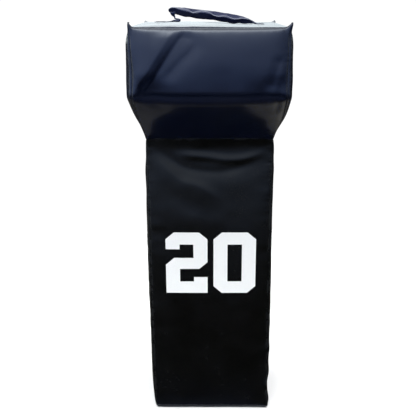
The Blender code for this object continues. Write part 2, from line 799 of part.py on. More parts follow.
def smooth_path(stations, count):
    """Even points on a smooth curve through hand-chosen stations."""
    stations = np.array(stations, dtype=float)
    lengths = np.linalg.norm(np.diff(stations, axis=0), axis=1)
    knots = np.concatenate([[0.0], np.cumsum(lengths)])
    slopes = np.gradient(stations, knots, axis=0)
    path = []
    for place in np.linspace(0.0, knots[-1], count + 1):
        first = min(int(np.searchsorted(knots, place, side="right")) - 1, len(lengths) - 1)
        width = lengths[first]
        t = (place - knots[first]) / width
        place_on = (2 * t**3 - 3 * t**2 + 1) * stations[first]
        place_on += (3 * t**2 - 2 * t**3) * stations[first + 1]
        place_on += (t**3 - 2 * t**2 + t) * slopes[first] * width
        place_on += (t**3 - t**2) * slopes[first + 1] * width
        path.append(place_on)
    return np.array(path)


def sweep_rings(path, radii, sides):
    """Circles along a path that lies in the upright plane of the handle."""
    depth = np.array((0.0, 1.0, 0.0))
    rings = []
    for index, radius in enumerate(radii):
        ahead = path[min(index + 1, len(path) - 1)] - path[max(index - 1, 0)]
        ahead = ahead / np.linalg.norm(ahead)
        rings.append(circle(path[index], depth, np.cross(ahead, depth), radius, sides))
    return rings


def grip_path():
    """The grip leans: its left end is held up by its folded leg, its right end lies low."""
    left = GRIP_LEFT_SET - HANDLE_SPAN / 2
    stations = []
    for along, fall in zip(GRIP_ALONG_SHARES, GRIP_FALL_SHARES):
        height = HINGE_HEIGHT + GRIP_RISE - GRIP_FALL * fall
        stations.append((left + GRIP_LENGTH * along, HANDLE_Y, height))
    return smooth_path(stations, GRIP_RINGS - 1)


def grip_radius(share):
    """Full over the middle, rounded in at the left end and drawn out thin at the right."""
    rounding = math.sqrt(min(1.0, share / GRIP_ROUND_SHARE))
    left = GRIP_END_SHARE + (1 - GRIP_END_SHARE) * rounding
    tapering = max(0.0, 1 - (1 - share) / GRIP_TAPER_SHARE)
    right = 1 - GRIP_THINNING_SHARE * tapering**2
    return GRIP_RADIUS * left * right


def add_handle(vinyl, foam, webbing):
    path = grip_path()
    shares = [index / (GRIP_RINGS - 1) for index in range(GRIP_RINGS)]
    outer = [grip_radius(share) for share in shares]
    inner = [radius - SLEEVE_WALL for radius in outer]
    core = [radius - REST_GAP for radius in inner]
    hinge = (0, HANDLE_Y, HINGE_HEIGHT)
    sleeve_rings = sweep_rings(path, outer, GRIP_SIDES) + sweep_rings(path, inner, GRIP_SIDES)[::-1]
    add_loft("handle_sleeve", sleeve_rings, vinyl, hinge, joined=True)
    add_loft("handle_core", sweep_rings(path, core, GRIP_SIDES), foam, hinge)

    def places(x, z, shares):
        return [np.array((x + LEG_RADIUS * u, HANDLE_Y, z + LEG_RADIUS * w)) for u, w in shares]

    def add_leg(name, stations, end, neighbour, rings):
        """A round leg from its tab to the core. It comes up square to the core's end."""
        ahead = (neighbour - end) / np.linalg.norm(neighbour - end)
        tip = end - ahead * REST_GAP
        run = smooth_path([*stations, tip - ahead * LEG_RADIUS, tip], rings)
        add_loft(name, sweep_rings(run, [LEG_RADIUS] * len(run), LEG_SIDES), webbing, hinge)

    start = -HANDLE_SPAN / 2 + TAB_LENGTH_LEFT + REST_GAP
    stations = places(start, HINGE_HEIGHT, TAB_FOLD_SHARES)
    stations += places(path[0][0], path[0][2], GRIP_FOLD_SHARES)
    add_leg("handle_leg_left", stations, path[0], path[1], LEFT_LEG_RINGS)
    start = HANDLE_SPAN / 2 - TAB_LENGTH_RIGHT - REST_GAP
    stations = places(start, HINGE_HEIGHT, RIGHT_LEG_SHARES)
    add_leg("handle_leg_right", stations, path[-1], path[-2], RIGHT_LEG_RINGS)
    low = TOP_FACE + REST_GAP
    for name, inner_end, side in (
        ("handle_tab_left", -HANDLE_SPAN / 2 + TAB_LENGTH_LEFT, -1),
        ("handle_tab_right", HANDLE_SPAN / 2 - TAB_LENGTH_RIGHT, 1),
    ):
        far = side * HANDLE_SPAN / 2
        half = TAB_WIDTH / 2
        waist = LEG_RADIUS * TAB_NECK_SHARE
        neck = inner_end + side * half
        edge = [(inner_end, waist), (neck, half), (far, half)]
        outline = edge + [(x, -y) for x, y in reversed(edge)]
        rings = [[(x, HANDLE_Y + y, z) for x, y in outline] for z in (low, low + TAB_THICKNESS)]
        add_loft(name, rings, webbing)


def build():
    for piece in list(bpy.data.objects):
        bpy.data.objects.remove(piece, do_unlink=True)
    vinyl = paint("black_vinyl", (0.012, 0.013, 0.018), 0.22)
    webbing = paint("black_webbing", (0.014, 0.014, 0.017), 0.6)
    tape = paint("zip_tape_cloth", (0.02, 0.02, 0.022), 0.85)
    teeth = paint("zip_teeth_plastic", (0.03, 0.03, 0.032), 0.4)
    metal = paint("nickel", (0.62, 0.61, 0.58), 0.3, 1.0)
    brass = paint("brass", (0.72, 0.55, 0.28), 0.3, 1.0)
    foam = paint("foam", (0.78, 0.74, 0.62), 0.95)
    vents = vent_places()
    add_column_panels(vinyl)
    add_head_panels(vinyl)
    add_back_panels(vinyl, vents)
    add_top_panel(vinyl)
    add_base_panel(vinyl)
    add_foam_column(foam)
    add_foam_head(foam)
    add_zip_tapes(tape, teeth)
    add_zip_stops(metal)
    add_slider(metal)
    add_pull(metal)
    add_vents(brass, vents)
    add_handle(vinyl, foam, webbing)


build()
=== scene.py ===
"""Looks of the tackling dummy: a sewn glossy vinyl cover over foam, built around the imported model."""
import math

import bmesh
import bpy
import numpy as np
from mathutils import Matrix, Vector, geometry


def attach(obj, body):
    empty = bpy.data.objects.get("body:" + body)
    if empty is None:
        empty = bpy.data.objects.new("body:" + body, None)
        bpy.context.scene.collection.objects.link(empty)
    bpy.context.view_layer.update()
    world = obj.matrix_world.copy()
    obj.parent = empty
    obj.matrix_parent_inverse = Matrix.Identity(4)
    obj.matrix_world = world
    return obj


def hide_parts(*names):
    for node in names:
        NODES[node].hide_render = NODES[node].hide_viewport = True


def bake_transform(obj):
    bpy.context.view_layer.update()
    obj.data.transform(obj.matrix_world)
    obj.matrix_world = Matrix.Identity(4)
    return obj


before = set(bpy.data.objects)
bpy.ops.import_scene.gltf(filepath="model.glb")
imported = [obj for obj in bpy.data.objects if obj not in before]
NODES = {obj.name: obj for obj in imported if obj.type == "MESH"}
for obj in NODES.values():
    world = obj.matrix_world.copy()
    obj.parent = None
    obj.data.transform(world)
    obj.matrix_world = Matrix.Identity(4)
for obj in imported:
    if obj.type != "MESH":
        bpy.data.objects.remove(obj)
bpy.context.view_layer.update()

# Sizes that the part's source has too, in metres
COLUMN_HALF = 0.198
HEAD_HALF = 0.223
FRONT = -0.1525
BACK = 0.1525
HEAD_FRONT = -0.3305
FOOT = 0.011
NECK = 0.983
NOSE = 1.137
TOP = 1.332
COLUMN_FRONT_SWELL = 0.010
COLUMN_SIDE_SWELL = 0.013
HEAD_FRONT_SWELL = 0.020
HEAD_SIDE_SWELL = 0.020
BACK_SWELL = 0.005
TOP_SWELL = 0.0068
ZIP_REVEAL = 0.009
ZIP_LOW, ZIP_HIGH = 0.1324, 0.9102
ZIP_END_TAPER = 0.012
CHAIN_Y = 0.1508
HANDLE_Y = -0.0905
SIDES = (("left", -1), ("right", 1))
VENTS = {-1: ((-0.1035, 0.350), (-0.1115, 1.200)), 1: ((0.1035, 0.350), (0.1115, 1.200))}  # by side

# Cover
VINYL = 0.0010
SEAM_DEPTH = 0.0012
SEAM_ROUND = 0.004  # how near its seam a panel's edge turns in
SEAM_CURL = 0.0030
SEAM_CALM = 0.03  # how near a seam the folds die out
NECK_WAY = (0.0, 0.90, 0.42)  # into the neck seam
NECK_LAP = 0.006  # the column's cloth runs on behind the head's
NOSE_ROUND = 0.048  # across the middle of the head
NOSE_ROUND_ENDS = 0.026
SHOULDER = 0.0012  # how far the top seam is drawn back
FOAM_SET = 0.0055
FOAM_FOOT = 0.003
FOAM_BACK = BACK - 0.0066  # clear of the zip and the washers
CELL = 0.0034  # usual size of a face on the cover
BACK_FLAT = (0.206, 1.323)  # a back panel's cloth
BACK_SEED = 800
CLOSED_GAP = 0.0003  # half the gap where the back panels meet
VENT_HOLE = 0.0062  # radius


# Curves and unevenness

def ease(x):
    x = np.clip(x, 0.0, 1.0)
    return x * x * (3 - 2 * x)


def swell(share):
    return np.sqrt(np.maximum(0.0, 1 - np.abs(2 * share - 1) ** 4))


def filled(share):
    """Like swell, but it rises sooner behind the first seam, where the cloth is drawn tightest."""
    early = swell(0.5 - 0.5 * (1 - np.clip(2 * share, 0, 1)) ** 1.6)
    return early * (share < 0.5) + swell(share) * (share >= 0.5)


def rumple(across, up, size, seed):
    """Smooth unevenness between -1 and 1, with bumps about `size` across. The seed fixes it."""
    lattice = np.random.default_rng(seed).uniform(-1, 1, (48, 48))
    x, y = across / size + 17.3, up / size + 11.1
    i, j = np.floor(x).astype(int), np.floor(y).astype(int)
    u, v = x - i, y - j
    u, v = u**3 * (u * (6 * u - 15) + 10), v**3 * (v * (6 * v - 15) + 10)

    def corner(p, q):
        return lattice[p % 48, q % 48]

    low = corner(i, j) * (1 - u) + corner(i + 1, j) * u
    high = corner(i, j + 1) * (1 - u) + corner(i + 1, j + 1) * u
    return low * (1 - v) + high * v


def smooth_line(stations, count):
    """Even points on a smooth curve through given stations."""
    stations = np.array(stations, dtype=float)
    lengths = np.linalg.norm(np.diff(stations, axis=0), axis=1)
    knots = np.concatenate([[0.0], np.cumsum(lengths)])
    slopes = np.gradient(stations, knots, axis=0) if len(stations) > 2 else None
    line = []
    for place in np.linspace(0.0, knots[-1], count + 1):
        first = min(int(np.searchsorted(knots, place, side="right")) - 1, len(lengths) - 1)
        width = lengths[first]
        t = (place - knots[first]) / width
        if slopes is None:
            line.append(stations[0] + (stations[1] - stations[0]) * t)
            continue
        point = (2 * t**3 - 3 * t**2 + 1) * stations[first] + (3 * t**2 - 2 * t**3) * stations[first + 1]
        point = point + (t**3 - 2 * t**2 + t) * slopes[first] * width
        line.append(point + (t**3 - t**2) * slopes[first + 1] * width)
    return np.array(line)


def beside(across, up, line):
    """How far each place lies to the left of a line, and how far along it, as a share."""
    nearest = np.full(across.shape, np.inf)
    signed, along = np.zeros(across.shape), np.zeros(across.shape)
    total = np.linalg.norm(np.diff(line, axis=0), axis=1).sum()
    start = 0.0
    for here, after in zip(line, line[1:]):
        length = np.linalg.norm(after - here)
        step = (after - here) / length
        x, y = across - here[0], up - here[1]
        run = np.clip(x * step[0] + y * step[1], 0, length)
        distance = np.hypot(x - run * step[0], y - run * step[1])
        closer = distance < nearest
        nearest = np.where(closer, distance, nearest)
        signed = np.where(closer, np.sign(step[0] * y - step[1] * x) * distance, signed)
        along = np.where(closer, (start + run) / total, along)
        start += length
    return signed, along


def fold(across, up, stations, height, left, right, fade=0.25):
    """A ridge (or a groove, if its height is below zero) along a line, that dies out at both ends."""
    signed, along = beside(across, up, smooth_line(stations, 24))
    shape = np.where(signed > 0, np.exp(-((signed / left) ** 2)), np.exp(-((signed / right) ** 2)))
    return height * shape * ease(along / fade) * ease((1 - along) / fade)


# Places where the cover is drawn out or in: centre, push, and reach in each direction
TIPS = (
    ((-HEAD_HALF, HEAD_FRONT, TOP), (-0.0030, -0.0030, 0.0160), (0.0060, 0.0090, 0.0150)),
    ((HEAD_HALF, HEAD_FRONT, TOP), (0.0085, -0.0030, 0.0145), (0.0065, 0.0090, 0.0150)),
    ((-HEAD_HALF, BACK, TOP), (-0.0030, 0.0035, 0.0060), (0.0090, 0.0090, 0.0120)),
    ((HEAD_HALF, BACK, TOP), (0.0030, 0.0035, 0.0070), (0.0090, 0.0090, 0.0120)),
    ((-HEAD_HALF, HEAD_FRONT, 1.205), (0.0040, 0.0010, 0.0), (0.020, 0.030, 0.055)),
    ((HEAD_HALF, HEAD_FRONT, 1.190), (-0.0015, 0.0010, 0.0), (0.015, 0.020, 0.050)),
    ((0.212, -0.240, 1.075), (0.0065, 0.0, -0.0020), (0.030, 0.120, 0.050)),
    ((-0.212, -0.240, 1.075), (-0.0020, 0.0, -0.0010), (0.030, 0.120, 0.040)),
    ((COLUMN_HALF, FRONT, 0.234), (0.0050, -0.001, 0.0), (0.014, 0.040, 0.026)),
    ((COLUMN_HALF, FRONT, 0.147), (0.0045, -0.001, 0.0), (0.014, 0.040, 0.024)),
    ((COLUMN_HALF, FRONT, 0.098), (-0.0010, 0.001, 0.0), (0.014, 0.040, 0.016)),
    ((COLUMN_HALF, FRONT, 0.040), (0.0070, -0.002, -0.001), (0.013, 0.030, 0.022)),
    ((-COLUMN_HALF, FRONT, FOOT), (0.0020, 0.0010, 0.0010), (0.016, 0.016, 0.016)),
    ((0.0, FRONT, NECK + 0.020), (0.0, -0.0080, 0.0), (0.280, 0.055, 0.035)),
    ((-COLUMN_HALF, -0.06, NECK), (-0.0050, 0.0, 0.0), (0.040, 0.130, 0.045)),
    ((COLUMN_HALF, -0.06, NECK), (0.0046, 0.0, 0.0), (0.040, 0.130, 0.045)),
    ((COLUMN_HALF, FRONT, 0.0), (0.0070, -0.0030, 0.0), (0.030, 0.050, 0.030)),
    ((0.0, FRONT, 0.05), (0.0030, 0.0, 0.0), (0.600, 0.180, 0.260)),
)


def drawn_out(points):
    moved = points.copy()
    for centre, push, reach in TIPS:
        away = (points - np.array(centre)) / np.array(reach)
        moved += np.exp(-(away**2).sum(-1))[..., None] * np.array(push)
    return moved


# Each panel's plain shape: shares across and up to points and to places on the flat cloth

def column_front(u, v):
    z = FOOT + (NECK + NECK_LAP - FOOT) * v
    x = COLUMN_HALF * (2 * u - 1)
    fill = np.where(v < 0.5, swell(v), ease((1 - v) / 0.30))
    y = FRONT - COLUMN_FRONT_SWELL * swell(u) * fill
    return np.stack([x, y, z], -1), x, z


def column_side(side):
    def place(u, v):
        z = FOOT + (NECK - FOOT) * v
        y = FRONT + (BACK - FRONT) * u
        x = side * (COLUMN_HALF + COLUMN_SIDE_SWELL * filled(u) * swell(v))
        return np.stack([x, y, z], -1), y, z

    return place


def head_profile(v, rounding):
    """The front of the head from the neck, over its rounded nose, to the top seam."""
    slope = math.hypot(FRONT - HEAD_FRONT, NOSE - NECK)
    lean = np.array([HEAD_FRONT - FRONT, NOSE - NECK]) / slope
    turn = math.atan2(-lean[0], lean[1])
    cut = rounding * math.tan(turn / 2)
    arc = rounding * turn
    total = slope - cut + arc + TOP - NOSE - cut
    s = v * total
    angle = np.clip((s - slope + cut) / rounding, 0, turn)
    run = np.minimum(s, slope - cut)
    rise = np.maximum(s - slope + cut - arc, 0)
    out_y, out_z = -np.cos(turn - angle), -np.sin(turn - angle)
    centre_y = FRONT + lean[0] * (slope - cut) + rounding * lean[1]
    centre_z = NECK + lean[1] * (slope - cut) - rounding * lean[0]
    y = np.where(s < slope - cut, FRONT + lean[0] * run, centre_y + rounding * out_y)
    z = np.where(s < slope - cut, NECK + lean[1] * run, centre_z + rounding * out_z) + rise
    middle = slope - cut + arc / 2
    low, high = np.clip(s / middle, 0, 1), np.clip((s - middle) / (total - middle), 0, 1)
    fill = np.where(s < middle, ease(low), swell((1 + high) / 2))
    widening = np.clip(s / middle, 0, 1)
    half = COLUMN_HALF + (HEAD_HALF - COLUMN_HALF) * widening * (1.25 - 0.25 * widening)
    return y, z, out_y, out_z, fill, half, TOP - (total - s)


def head_front(u, v):
    """Its places on the cloth are given as on the face: the nose is at NOSE, the neck lower down."""
    rounding = NOSE_ROUND_ENDS + (NOSE_ROUND - NOSE_ROUND_ENDS) * swell(u)
    y, z, out_y, out_z, fill, half, up = head_profile(v, rounding)
    belly = 0.006 * np.sin(math.pi * np.clip(v / 0.5, 0, 1)) * (1 - np.abs(2 * u - 1) ** 2.2)
    amount = HEAD_FRONT_SWELL * swell(u) * fill + belly
    x = half * (2 * u - 1)
    drawn = SHOULDER * swell(u) * np.clip(1 - (TOP - up) / 0.0125, 0, 1) ** 2
    low = np.clip((1.235 - up) / 0.1, 0, 1.5)
    drawn = drawn + 0.0042 * swell(u) * np.where(low < 1, low**2, 1.5 - 2 * (1.5 - low) ** 2)
    return np.stack([x, y + out_y * amount + drawn, z + out_z * amount], -1), x, up


def head_side(side):
    def place(u, v):
        front, z, _, _, fill, half, _ = head_profile(v, NOSE_ROUND_ENDS)
        y = front + (BACK - front) * u
        x = side * (half + HEAD_SIDE_SWELL * filled(u) * fill)
        return np.stack([x, y, z], -1), y, z

    return place


def top(u, v):
    x = HEAD_HALF * (2 * u - 1)
    front = HEAD_FRONT + SHOULDER * swell(u)
    y = front + (BACK - front) * v
    sunken = 1 - 0.93 * ease((x + 0.03) / 0.17)
    z = TOP + 0.0004 + TOP_SWELL * sunken * swell(u) * swell(v)
    return np.stack([x, y, z], -1), x, y


def zip_edge(z):
    """How far a back panel's edge stays from the middle: clear of the zip, and closed beyond it."""
    edge = ZIP_REVEAL * np.clip(1 - np.maximum(ZIP_LOW - z, z - ZIP_HIGH) / ZIP_END_TAPER, 0, 1)
    return np.maximum(edge, CLOSED_GAP)


def back_half(z):
    return COLUMN_HALF + (HEAD_HALF - COLUMN_HALF) * np.clip((z - NECK) / (NOSE - NECK), 0, 1)


def back(side):
    def place(u, v):
        z = FOOT + (TOP - FOOT) * v
        edge = zip_edge(z)
        x = side * (edge + (back_half(z) - edge) * u)
        y = BACK + BACK_SWELL * swell(u) * swell(v)
        return np.stack([x, y, z], -1), x, z

    return place


# Folds and unevenness of each panel: places on the flat cloth to how far out it stands

def column_front_folds(x, z):
    high = fold(x, z, [(-0.12, 0.938), (-0.045, 0.930), (0.0, 0.926), (0.052, 0.919), (0.105, 0.921),
                       (0.160, 0.938), (0.19, 0.955)], 0.0021, 0.012, 0.014)
    low = fold(x, z, [(-0.196, 0.948), (-0.168, 0.912), (-0.140, 0.886), (-0.095, 0.846),
                      (-0.035, 0.828), (0.017, 0.792), (0.060, 0.770)], 0.0036, 0.021, 0.048, 0.35)
    branch = fold(x, z, [(-0.05, 0.834), (0.033, 0.838), (0.104, 0.842), (0.155, 0.862), (0.188, 0.892)],
                  0.0007, 0.022, 0.036)
    valley = fold(x, z, [(-0.1826, 0.960), (-0.142, 0.931), (-0.0916, 0.896), (-0.0309, 0.880),
                         (0.0492, 0.880), (0.1188, 0.897), (0.165, 0.912)], -0.0014, 0.016, 0.014)
    lower = fold(x, z, [(-0.17, 0.80), (-0.10, 0.742), (-0.02, 0.715), (0.06, 0.708)], 0.0012, 0.03, 0.05)
    waves = 0.0009 * rumple(x, z, 0.11, 3) + 0.0003 * rumple(x, z, 0.045, 4)
    return high + low + branch + valley + lower + waves


def column_side_folds(seed):
    def folds(y, z):
        neck = fold(y, z, [(-0.14, 0.955), (-0.06, 0.925), (0.04, 0.918), (0.13, 0.945)], 0.0035, 0.016, 0.03)
        lean = fold(y, z, [(-0.145, 0.93), (-0.09, 0.86), (0.0, 0.80), (0.07, 0.76)], 0.0030, 0.02, 0.04)
        return neck + lean + 0.0016 * rumple(y, z, 0.12, seed) + 0.0007 * rumple(y, z, 0.05, seed + 1)

    return folds


def head_front_folds(x, up):
    """The big slanting crease at the left of the face, and the softer ones beside it."""
    main = [(-0.060, 1.346), (-0.0885, 1.310), (-0.1224, 1.262), (-0.160, 1.205), (-0.200, 1.150),
            (-0.214, 1.125)]
    groove = fold(x, up, [(a + 0.010, b - 0.006) for a, b in main], -0.0043, 0.052, 0.011, 0.14)
    ridge = fold(x, up, [(a - 0.014, b + 0.010) for a, b in main], 0.0021, 0.009, 0.034, 0.14)
    second = fold(x, up, [(-0.025, 1.300), (-0.0533, 1.2646), (-0.0813, 1.238), (-0.1067, 1.210),
                          (-0.130, 1.180)], -0.0016, 0.020, 0.012)
    third = fold(x, up, [(0.205, 1.262), (0.1907, 1.2237), (0.1805, 1.1908), (0.170, 1.150)],
                 -0.0018, 0.012, 0.018)
    slack = -0.0045 * (1 - ease((up - 1.130) / 0.080)) * ease((x - 0.08) / 0.10) * ease((up - 1.04) / 0.09)
    hollow = -0.0042 * (1 - ease((up - 1.125) / 0.085)) * ease((-x - 0.07) / 0.09) * ease((up - 1.04) / 0.09)
    waves = 0.0009 * rumple(x, up, 0.13, 7) + 0.0005 * rumple(x, up, 0.05, 8)
    return groove + ridge + second + third + slack + hollow + waves


def head_side_folds(seed):
    def folds(y, z):
        low = fold(y, z, [(-0.12, 1.03), (-0.03, 1.06), (0.07, 1.05), (0.14, 1.02)], 0.0035, 0.03, 0.02)
        lean = fold(y, z, [(-0.29, 1.17), (-0.20, 1.22), (-0.10, 1.30)], -0.0028, 0.03, 0.015)
        return low + lean + 0.0018 * rumple(y, z, 0.13, seed) + 0.0008 * rumple(y, z, 0.05, seed + 1)

    return folds


def top_folds(x, y):
    rim = fold(x, y, [(-0.21, -0.318), (-0.15, -0.300), (-0.09, -0.310)], -0.0030, 0.008, 0.008)
    rim = rim + fold(x, y, [(0.21, -0.318), (0.165, -0.302), (0.12, -0.312)], -0.0025, 0.008, 0.008)
    away = ease((np.abs(y - HANDLE_Y) - 0.03) / 0.05)
    trough = -0.0056 * ease((x + 0.035) / 0.06) * ease((0.146 - x) / 0.024)
    trough = trough * np.exp(-(((y - HANDLE_Y) / 0.030) ** 4))
    return rim + trough + away * (0.0010 * rumple(x, y, 0.10, 15) - 0.0010 + 0.0006 * rumple(x, y, 0.04, 16))


def back_folds(side):
    seed = 40 + side

    def folds(x, z):
        neck = fold(x, z, [(0.02 * side, 0.965), (0.10 * side, 0.985), (0.19 * side, 0.972)],
                    -0.0022, 0.016, 0.02)
        lean = fold(x, z, [(0.03 * side, 0.80), (0.10 * side, 0.86), (0.185 * side, 0.90)], 0.0022, 0.03, 0.02)
        low = fold(x, z, [(0.02 * side, 0.20), (0.10 * side, 0.16), (0.18 * side, 0.10)], 0.0018, 0.03, 0.02)
        lift = neck + lean + low + 0.0013 * rumple(x, z, 0.12, seed) + 0.0006 * rumple(x, z, 0.045, seed + 2)
        for vent_x, vent_z in VENTS[side]:
            lift = lift * ease(np.hypot(x - vent_x, z - vent_z) / 0.018 - 0.5)
        return lift

    return folds


# Meshes and what they stand for

def plain_mesh(name, points, faces=()):
    mesh = bpy.data.meshes.new(name)
    mesh.from_pydata([tuple(p) for p in points], [], [tuple(f) for f in faces])
    return mesh


def linked(name, mesh):
    thing = bpy.data.objects.new(name, mesh)
    bpy.context.scene.collection.objects.link(thing)
    return thing


def mapped(mesh, cloth, near=None):
    """Gives each point its place on the flat cloth, and how far it is from a seam."""
    corners = np.empty(len(mesh.loops), dtype=np.int32)
    mesh.loops.foreach_get("vertex_index", corners)
    mesh.uv_layers.new(name="cloth").data.foreach_set("uv", cloth[corners].astype(np.float32).ravel())
    if near is not None:
        wear = mesh.attributes.new("from_seam", "FLOAT", "POINT")
        wear.data.foreach_set("value", near.astype(np.float32).ravel())


def worked(mesh, work):
    """Does some work on a mesh as a bmesh."""
    shape = bmesh.new()
    shape.from_mesh(mesh)
    work(shape)
    shape.to_mesh(mesh)
    shape.free()


def solid(name, mesh, finish=None, sharp=None, work=None):
    """A piece with its faces turned outward, and smooth apart from edges that turn by `sharp` degrees."""
    if work:
        worked(mesh, work)
    worked(mesh, lambda shape: bmesh.ops.recalc_face_normals(shape, faces=shape.faces))
    mesh.materials.clear()
    if finish:
        mesh.materials.append(finish)
    mesh.shade_smooth()
    if sharp:
        mesh.set_sharp_from_angle(angle=math.radians(sharp))
    return linked(name, mesh)


def wall_faces(rings, sides, closed=False):
    """Faces from each ring of points to the next, and from the last to the first if it is closed."""
    faces = []
    for ring in range(rings if closed else rings - 1):
        step = sides if ring < rings - 1 else -ring * sides
        for side in range(sides):
            here, after = ring * sides + side, ring * sides + (side + 1) % sides
            faces.append((here, after, after + step, here + step))
    return faces


def end_faces(rings, sides):
    return [tuple(range(sides))[::-1], tuple(range((rings - 1) * sides, rings * sides))]


def walled(piece, thick=VINYL):
    """Gives a sheet its thickness, on its inner side."""
    wall = piece.modifiers.new("wall", "SOLIDIFY")
    wall.thickness, wall.offset = thick, -1
    wall.use_even_offset = False
    return piece


def stands(piece, body, slot, *nodes):
    """Says which body a piece rides on and the CAD pieces that it stands for; its slot is not used."""
    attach(piece, body)
    if nodes:
        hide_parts(*nodes)
    return piece


# Cover panels

def spaced(length, cell):
    """Shares from 0 to 1, a cell apart and closer near both ends."""
    count = max(8, int(length / cell))
    steps = np.linspace(0, 1, count + 1)
    return 0.7 * steps + 0.3 * (0.5 - 0.5 * np.cos(math.pi * steps))


def puckers(places, from_edge, seed):
    """Where the thread has drawn the cloth in beside a seam."""
    close = (from_edge / 0.005) * np.exp(1 - from_edge / 0.005)
    wide = (from_edge / 0.016) * np.exp(1 - from_edge / 0.016)
    strength = 0.5 + 0.5 * rumple(places, places * 0, 0.07, seed)
    fine = rumple(places, places * 0 + 1.0, 0.0085, seed + 1)
    broad = rumple(places, places * 0 + 2.0, 0.034, seed + 2)
    return 0.00038 * close * strength * fine + 0.0010 * wide * strength * broad


def turned_in(from_edge):
    return np.clip(1 - from_edge / SEAM_ROUND, 0, 1) ** 2


def panel(name, shape, size, folds, into, seed, cut=None):
    """One panel of the cover, with its folds, its puckered seams and its edges turned in.

    `into` gives, for the left, right, lower and upper edge, the way into its seam, and last the way out."""
    width, height = size
    u, v = np.meshgrid(spaced(width, CELL), spaced(height, CELL))
    points, across, up = shape(u, v)
    out = np.cross(np.gradient(points, axis=1), np.gradient(points, axis=0))
    out /= np.maximum(np.linalg.norm(out, axis=-1, keepdims=True), 1e-12)
    centre = points.reshape(-1, 3).mean(0)
    if np.mean(out @ (centre * [1, 1, 0] + into[4])) < 0:
        out = -out
    edges = (u * width, (1 - u) * width, v * height, (1 - v) * height)
    beside_edge, beside_end = np.minimum(edges[0], edges[1]), np.minimum(edges[2], edges[3])
    lift = folds(across, up) * ease(beside_edge / SEAM_CALM)
    lift = lift * ease(beside_end / SEAM_CALM)
    for place, (run, edge) in enumerate(zip((up, up, across, across), edges)):
        lift = lift + puckers(run, edge, seed + 10 * place) * (0.35 if into[place] == NECK_WAY else 1.0)
    points = points + out * lift[..., None]
    for edge, way in zip(edges, into):
        depth = 0.0 if way == NECK_WAY else SEAM_DEPTH
        points = points + (turned_in(edge) * depth)[..., None] * np.array(way)
    points, near, cloth = drawn_out(points), np.minimum(beside_edge, beside_end), np.stack([across, up], -1)

    def pad(grid, axis, low=0.0, high=0.0):
        return np.concatenate([np.take(grid, [0], axis) + low, grid, np.take(grid, [-1], axis) + high], axis)

    for axis, low, high in ((0, into[2], into[3]), (1, into[0], into[1])):
        points = pad(points, axis, np.array(low) * SEAM_CURL, np.array(high) * SEAM_CURL)
        cloth, near = pad(cloth, axis), pad(near, axis)
    return sheet_mesh(name, points, into[4], cloth, near, cut)


def sheet_mesh(name, points, way, cloth, near, cut=None, thick=VINYL):
    """A sheet through a grid of points, that faces the given way. `cut` picks the faces of its holes."""
    rows, columns = points.shape[:2]
    index = np.arange(rows * columns).reshape(rows, columns)
    corners = [index[:-1, :-1], index[:-1, 1:], index[1:, 1:], index[1:, :-1]]
    r, c = rows // 2, columns // 2
    normal = np.cross(points[r, c + 1] - points[r, c], points[r + 1, c] - points[r, c])
    if normal @ np.array(way) <= 0:
        corners = corners[:1] + corners[:0:-1]
    faces = np.stack([corner.ravel() for corner in corners], 1)
    points = points.reshape(-1, 3)
    if cut is not None:
        faces = faces[~cut(points[faces].mean(1))]
    mesh = plain_mesh(name, points, faces.tolist())
    mapped(mesh, cloth.reshape(-1, 2), near)
    mesh.shade_smooth()
    worked(mesh, lambda shape: bmesh.ops.delete(
        shape, geom=[p for p in shape.verts if not p.link_faces], context="VERTS"))
    return walled(linked(name, mesh), thick)


# Materials

class Nodes:
    """A short way to build a tree of nodes."""

    def __init__(self, tree, owner=None, prefix="ShaderNode"):
        self.tree, self.owner, self.prefix = tree, owner, prefix

    def add(self, kind, settings=None, **inputs):
        made = self.tree.nodes.new(self.prefix + kind)
        for key, value in (settings or {}).items():
            setattr(made, key, value)
        for key, value in inputs.items():
            self.feed(made, key.replace("_", " "), value)
        return made

    def feed(self, made, key, value):
        """A key such as i6 means the input with that number."""
        socket = made.inputs[int(key[1:])] if key[0] == "i" and key[1:].isdigit() else made.inputs[key]
        if isinstance(value, bpy.types.NodeSocket):
            self.tree.links.new(value, socket)
        else:
            plain_colour = socket.type == "RGBA" and len(value) == 3
            socket.default_value = (*value, 1) if plain_colour else value

    def places(self):
        return self.add("TexCoord").outputs["Object"]

    def cloth(self):
        return self.add("UVMap", {"uv_map": "cloth"}).outputs["UV"]

    def noise(self, scale, detail=3.0, rough=0.55, vector=None):
        made = self.add("TexNoise", Scale=scale, Detail=detail, Roughness=rough)
        self.feed(made, "Vector", self.places() if vector is None else vector)
        return made.outputs["Fac"]

    def cells(self, scale, kind="F1"):
        made = self.add("TexVoronoi", {"feature": kind}, Scale=scale, Vector=self.places())
        return made.outputs["Distance"]

    def ramp(self, value, low, high, to_low=0.0, to_high=1.0, kind="LINEAR"):
        return self.add("MapRange", {"interpolation_type": kind}, Value=value, From_Min=low, From_Max=high,
                        To_Min=to_low, To_Max=to_high).outputs["Result"]

    def calc(self, kind, first, second=0.0):
        return self.add("Math", {"operation": kind}, i0=first, i1=second).outputs[0]

    def mix(self, factor, first, second):
        return self.add("Mix", {"data_type": "RGBA"}, i0=factor, i6=first, i7=second).outputs[2]

    def bump(self, height, distance, strength=1.0, normal=None):
        made = self.add("Bump", Height=height, Distance=distance, Strength=strength)
        if normal is not None:
            self.feed(made, "Normal", normal)
        return made.outputs["Normal"]

    def surface(self, **inputs):
        for key, value in inputs.items():
            self.feed(self.tree.nodes["Principled BSDF"], key.replace("_", " "), value)
        return self.owner


def owned_nodes(owner):
    """The nodes of a new material or world."""
    owner.use_nodes = True
    return Nodes(owner.node_tree, owner)


def finish_nodes(name):
    return owned_nodes(bpy.data.materials.new(name))


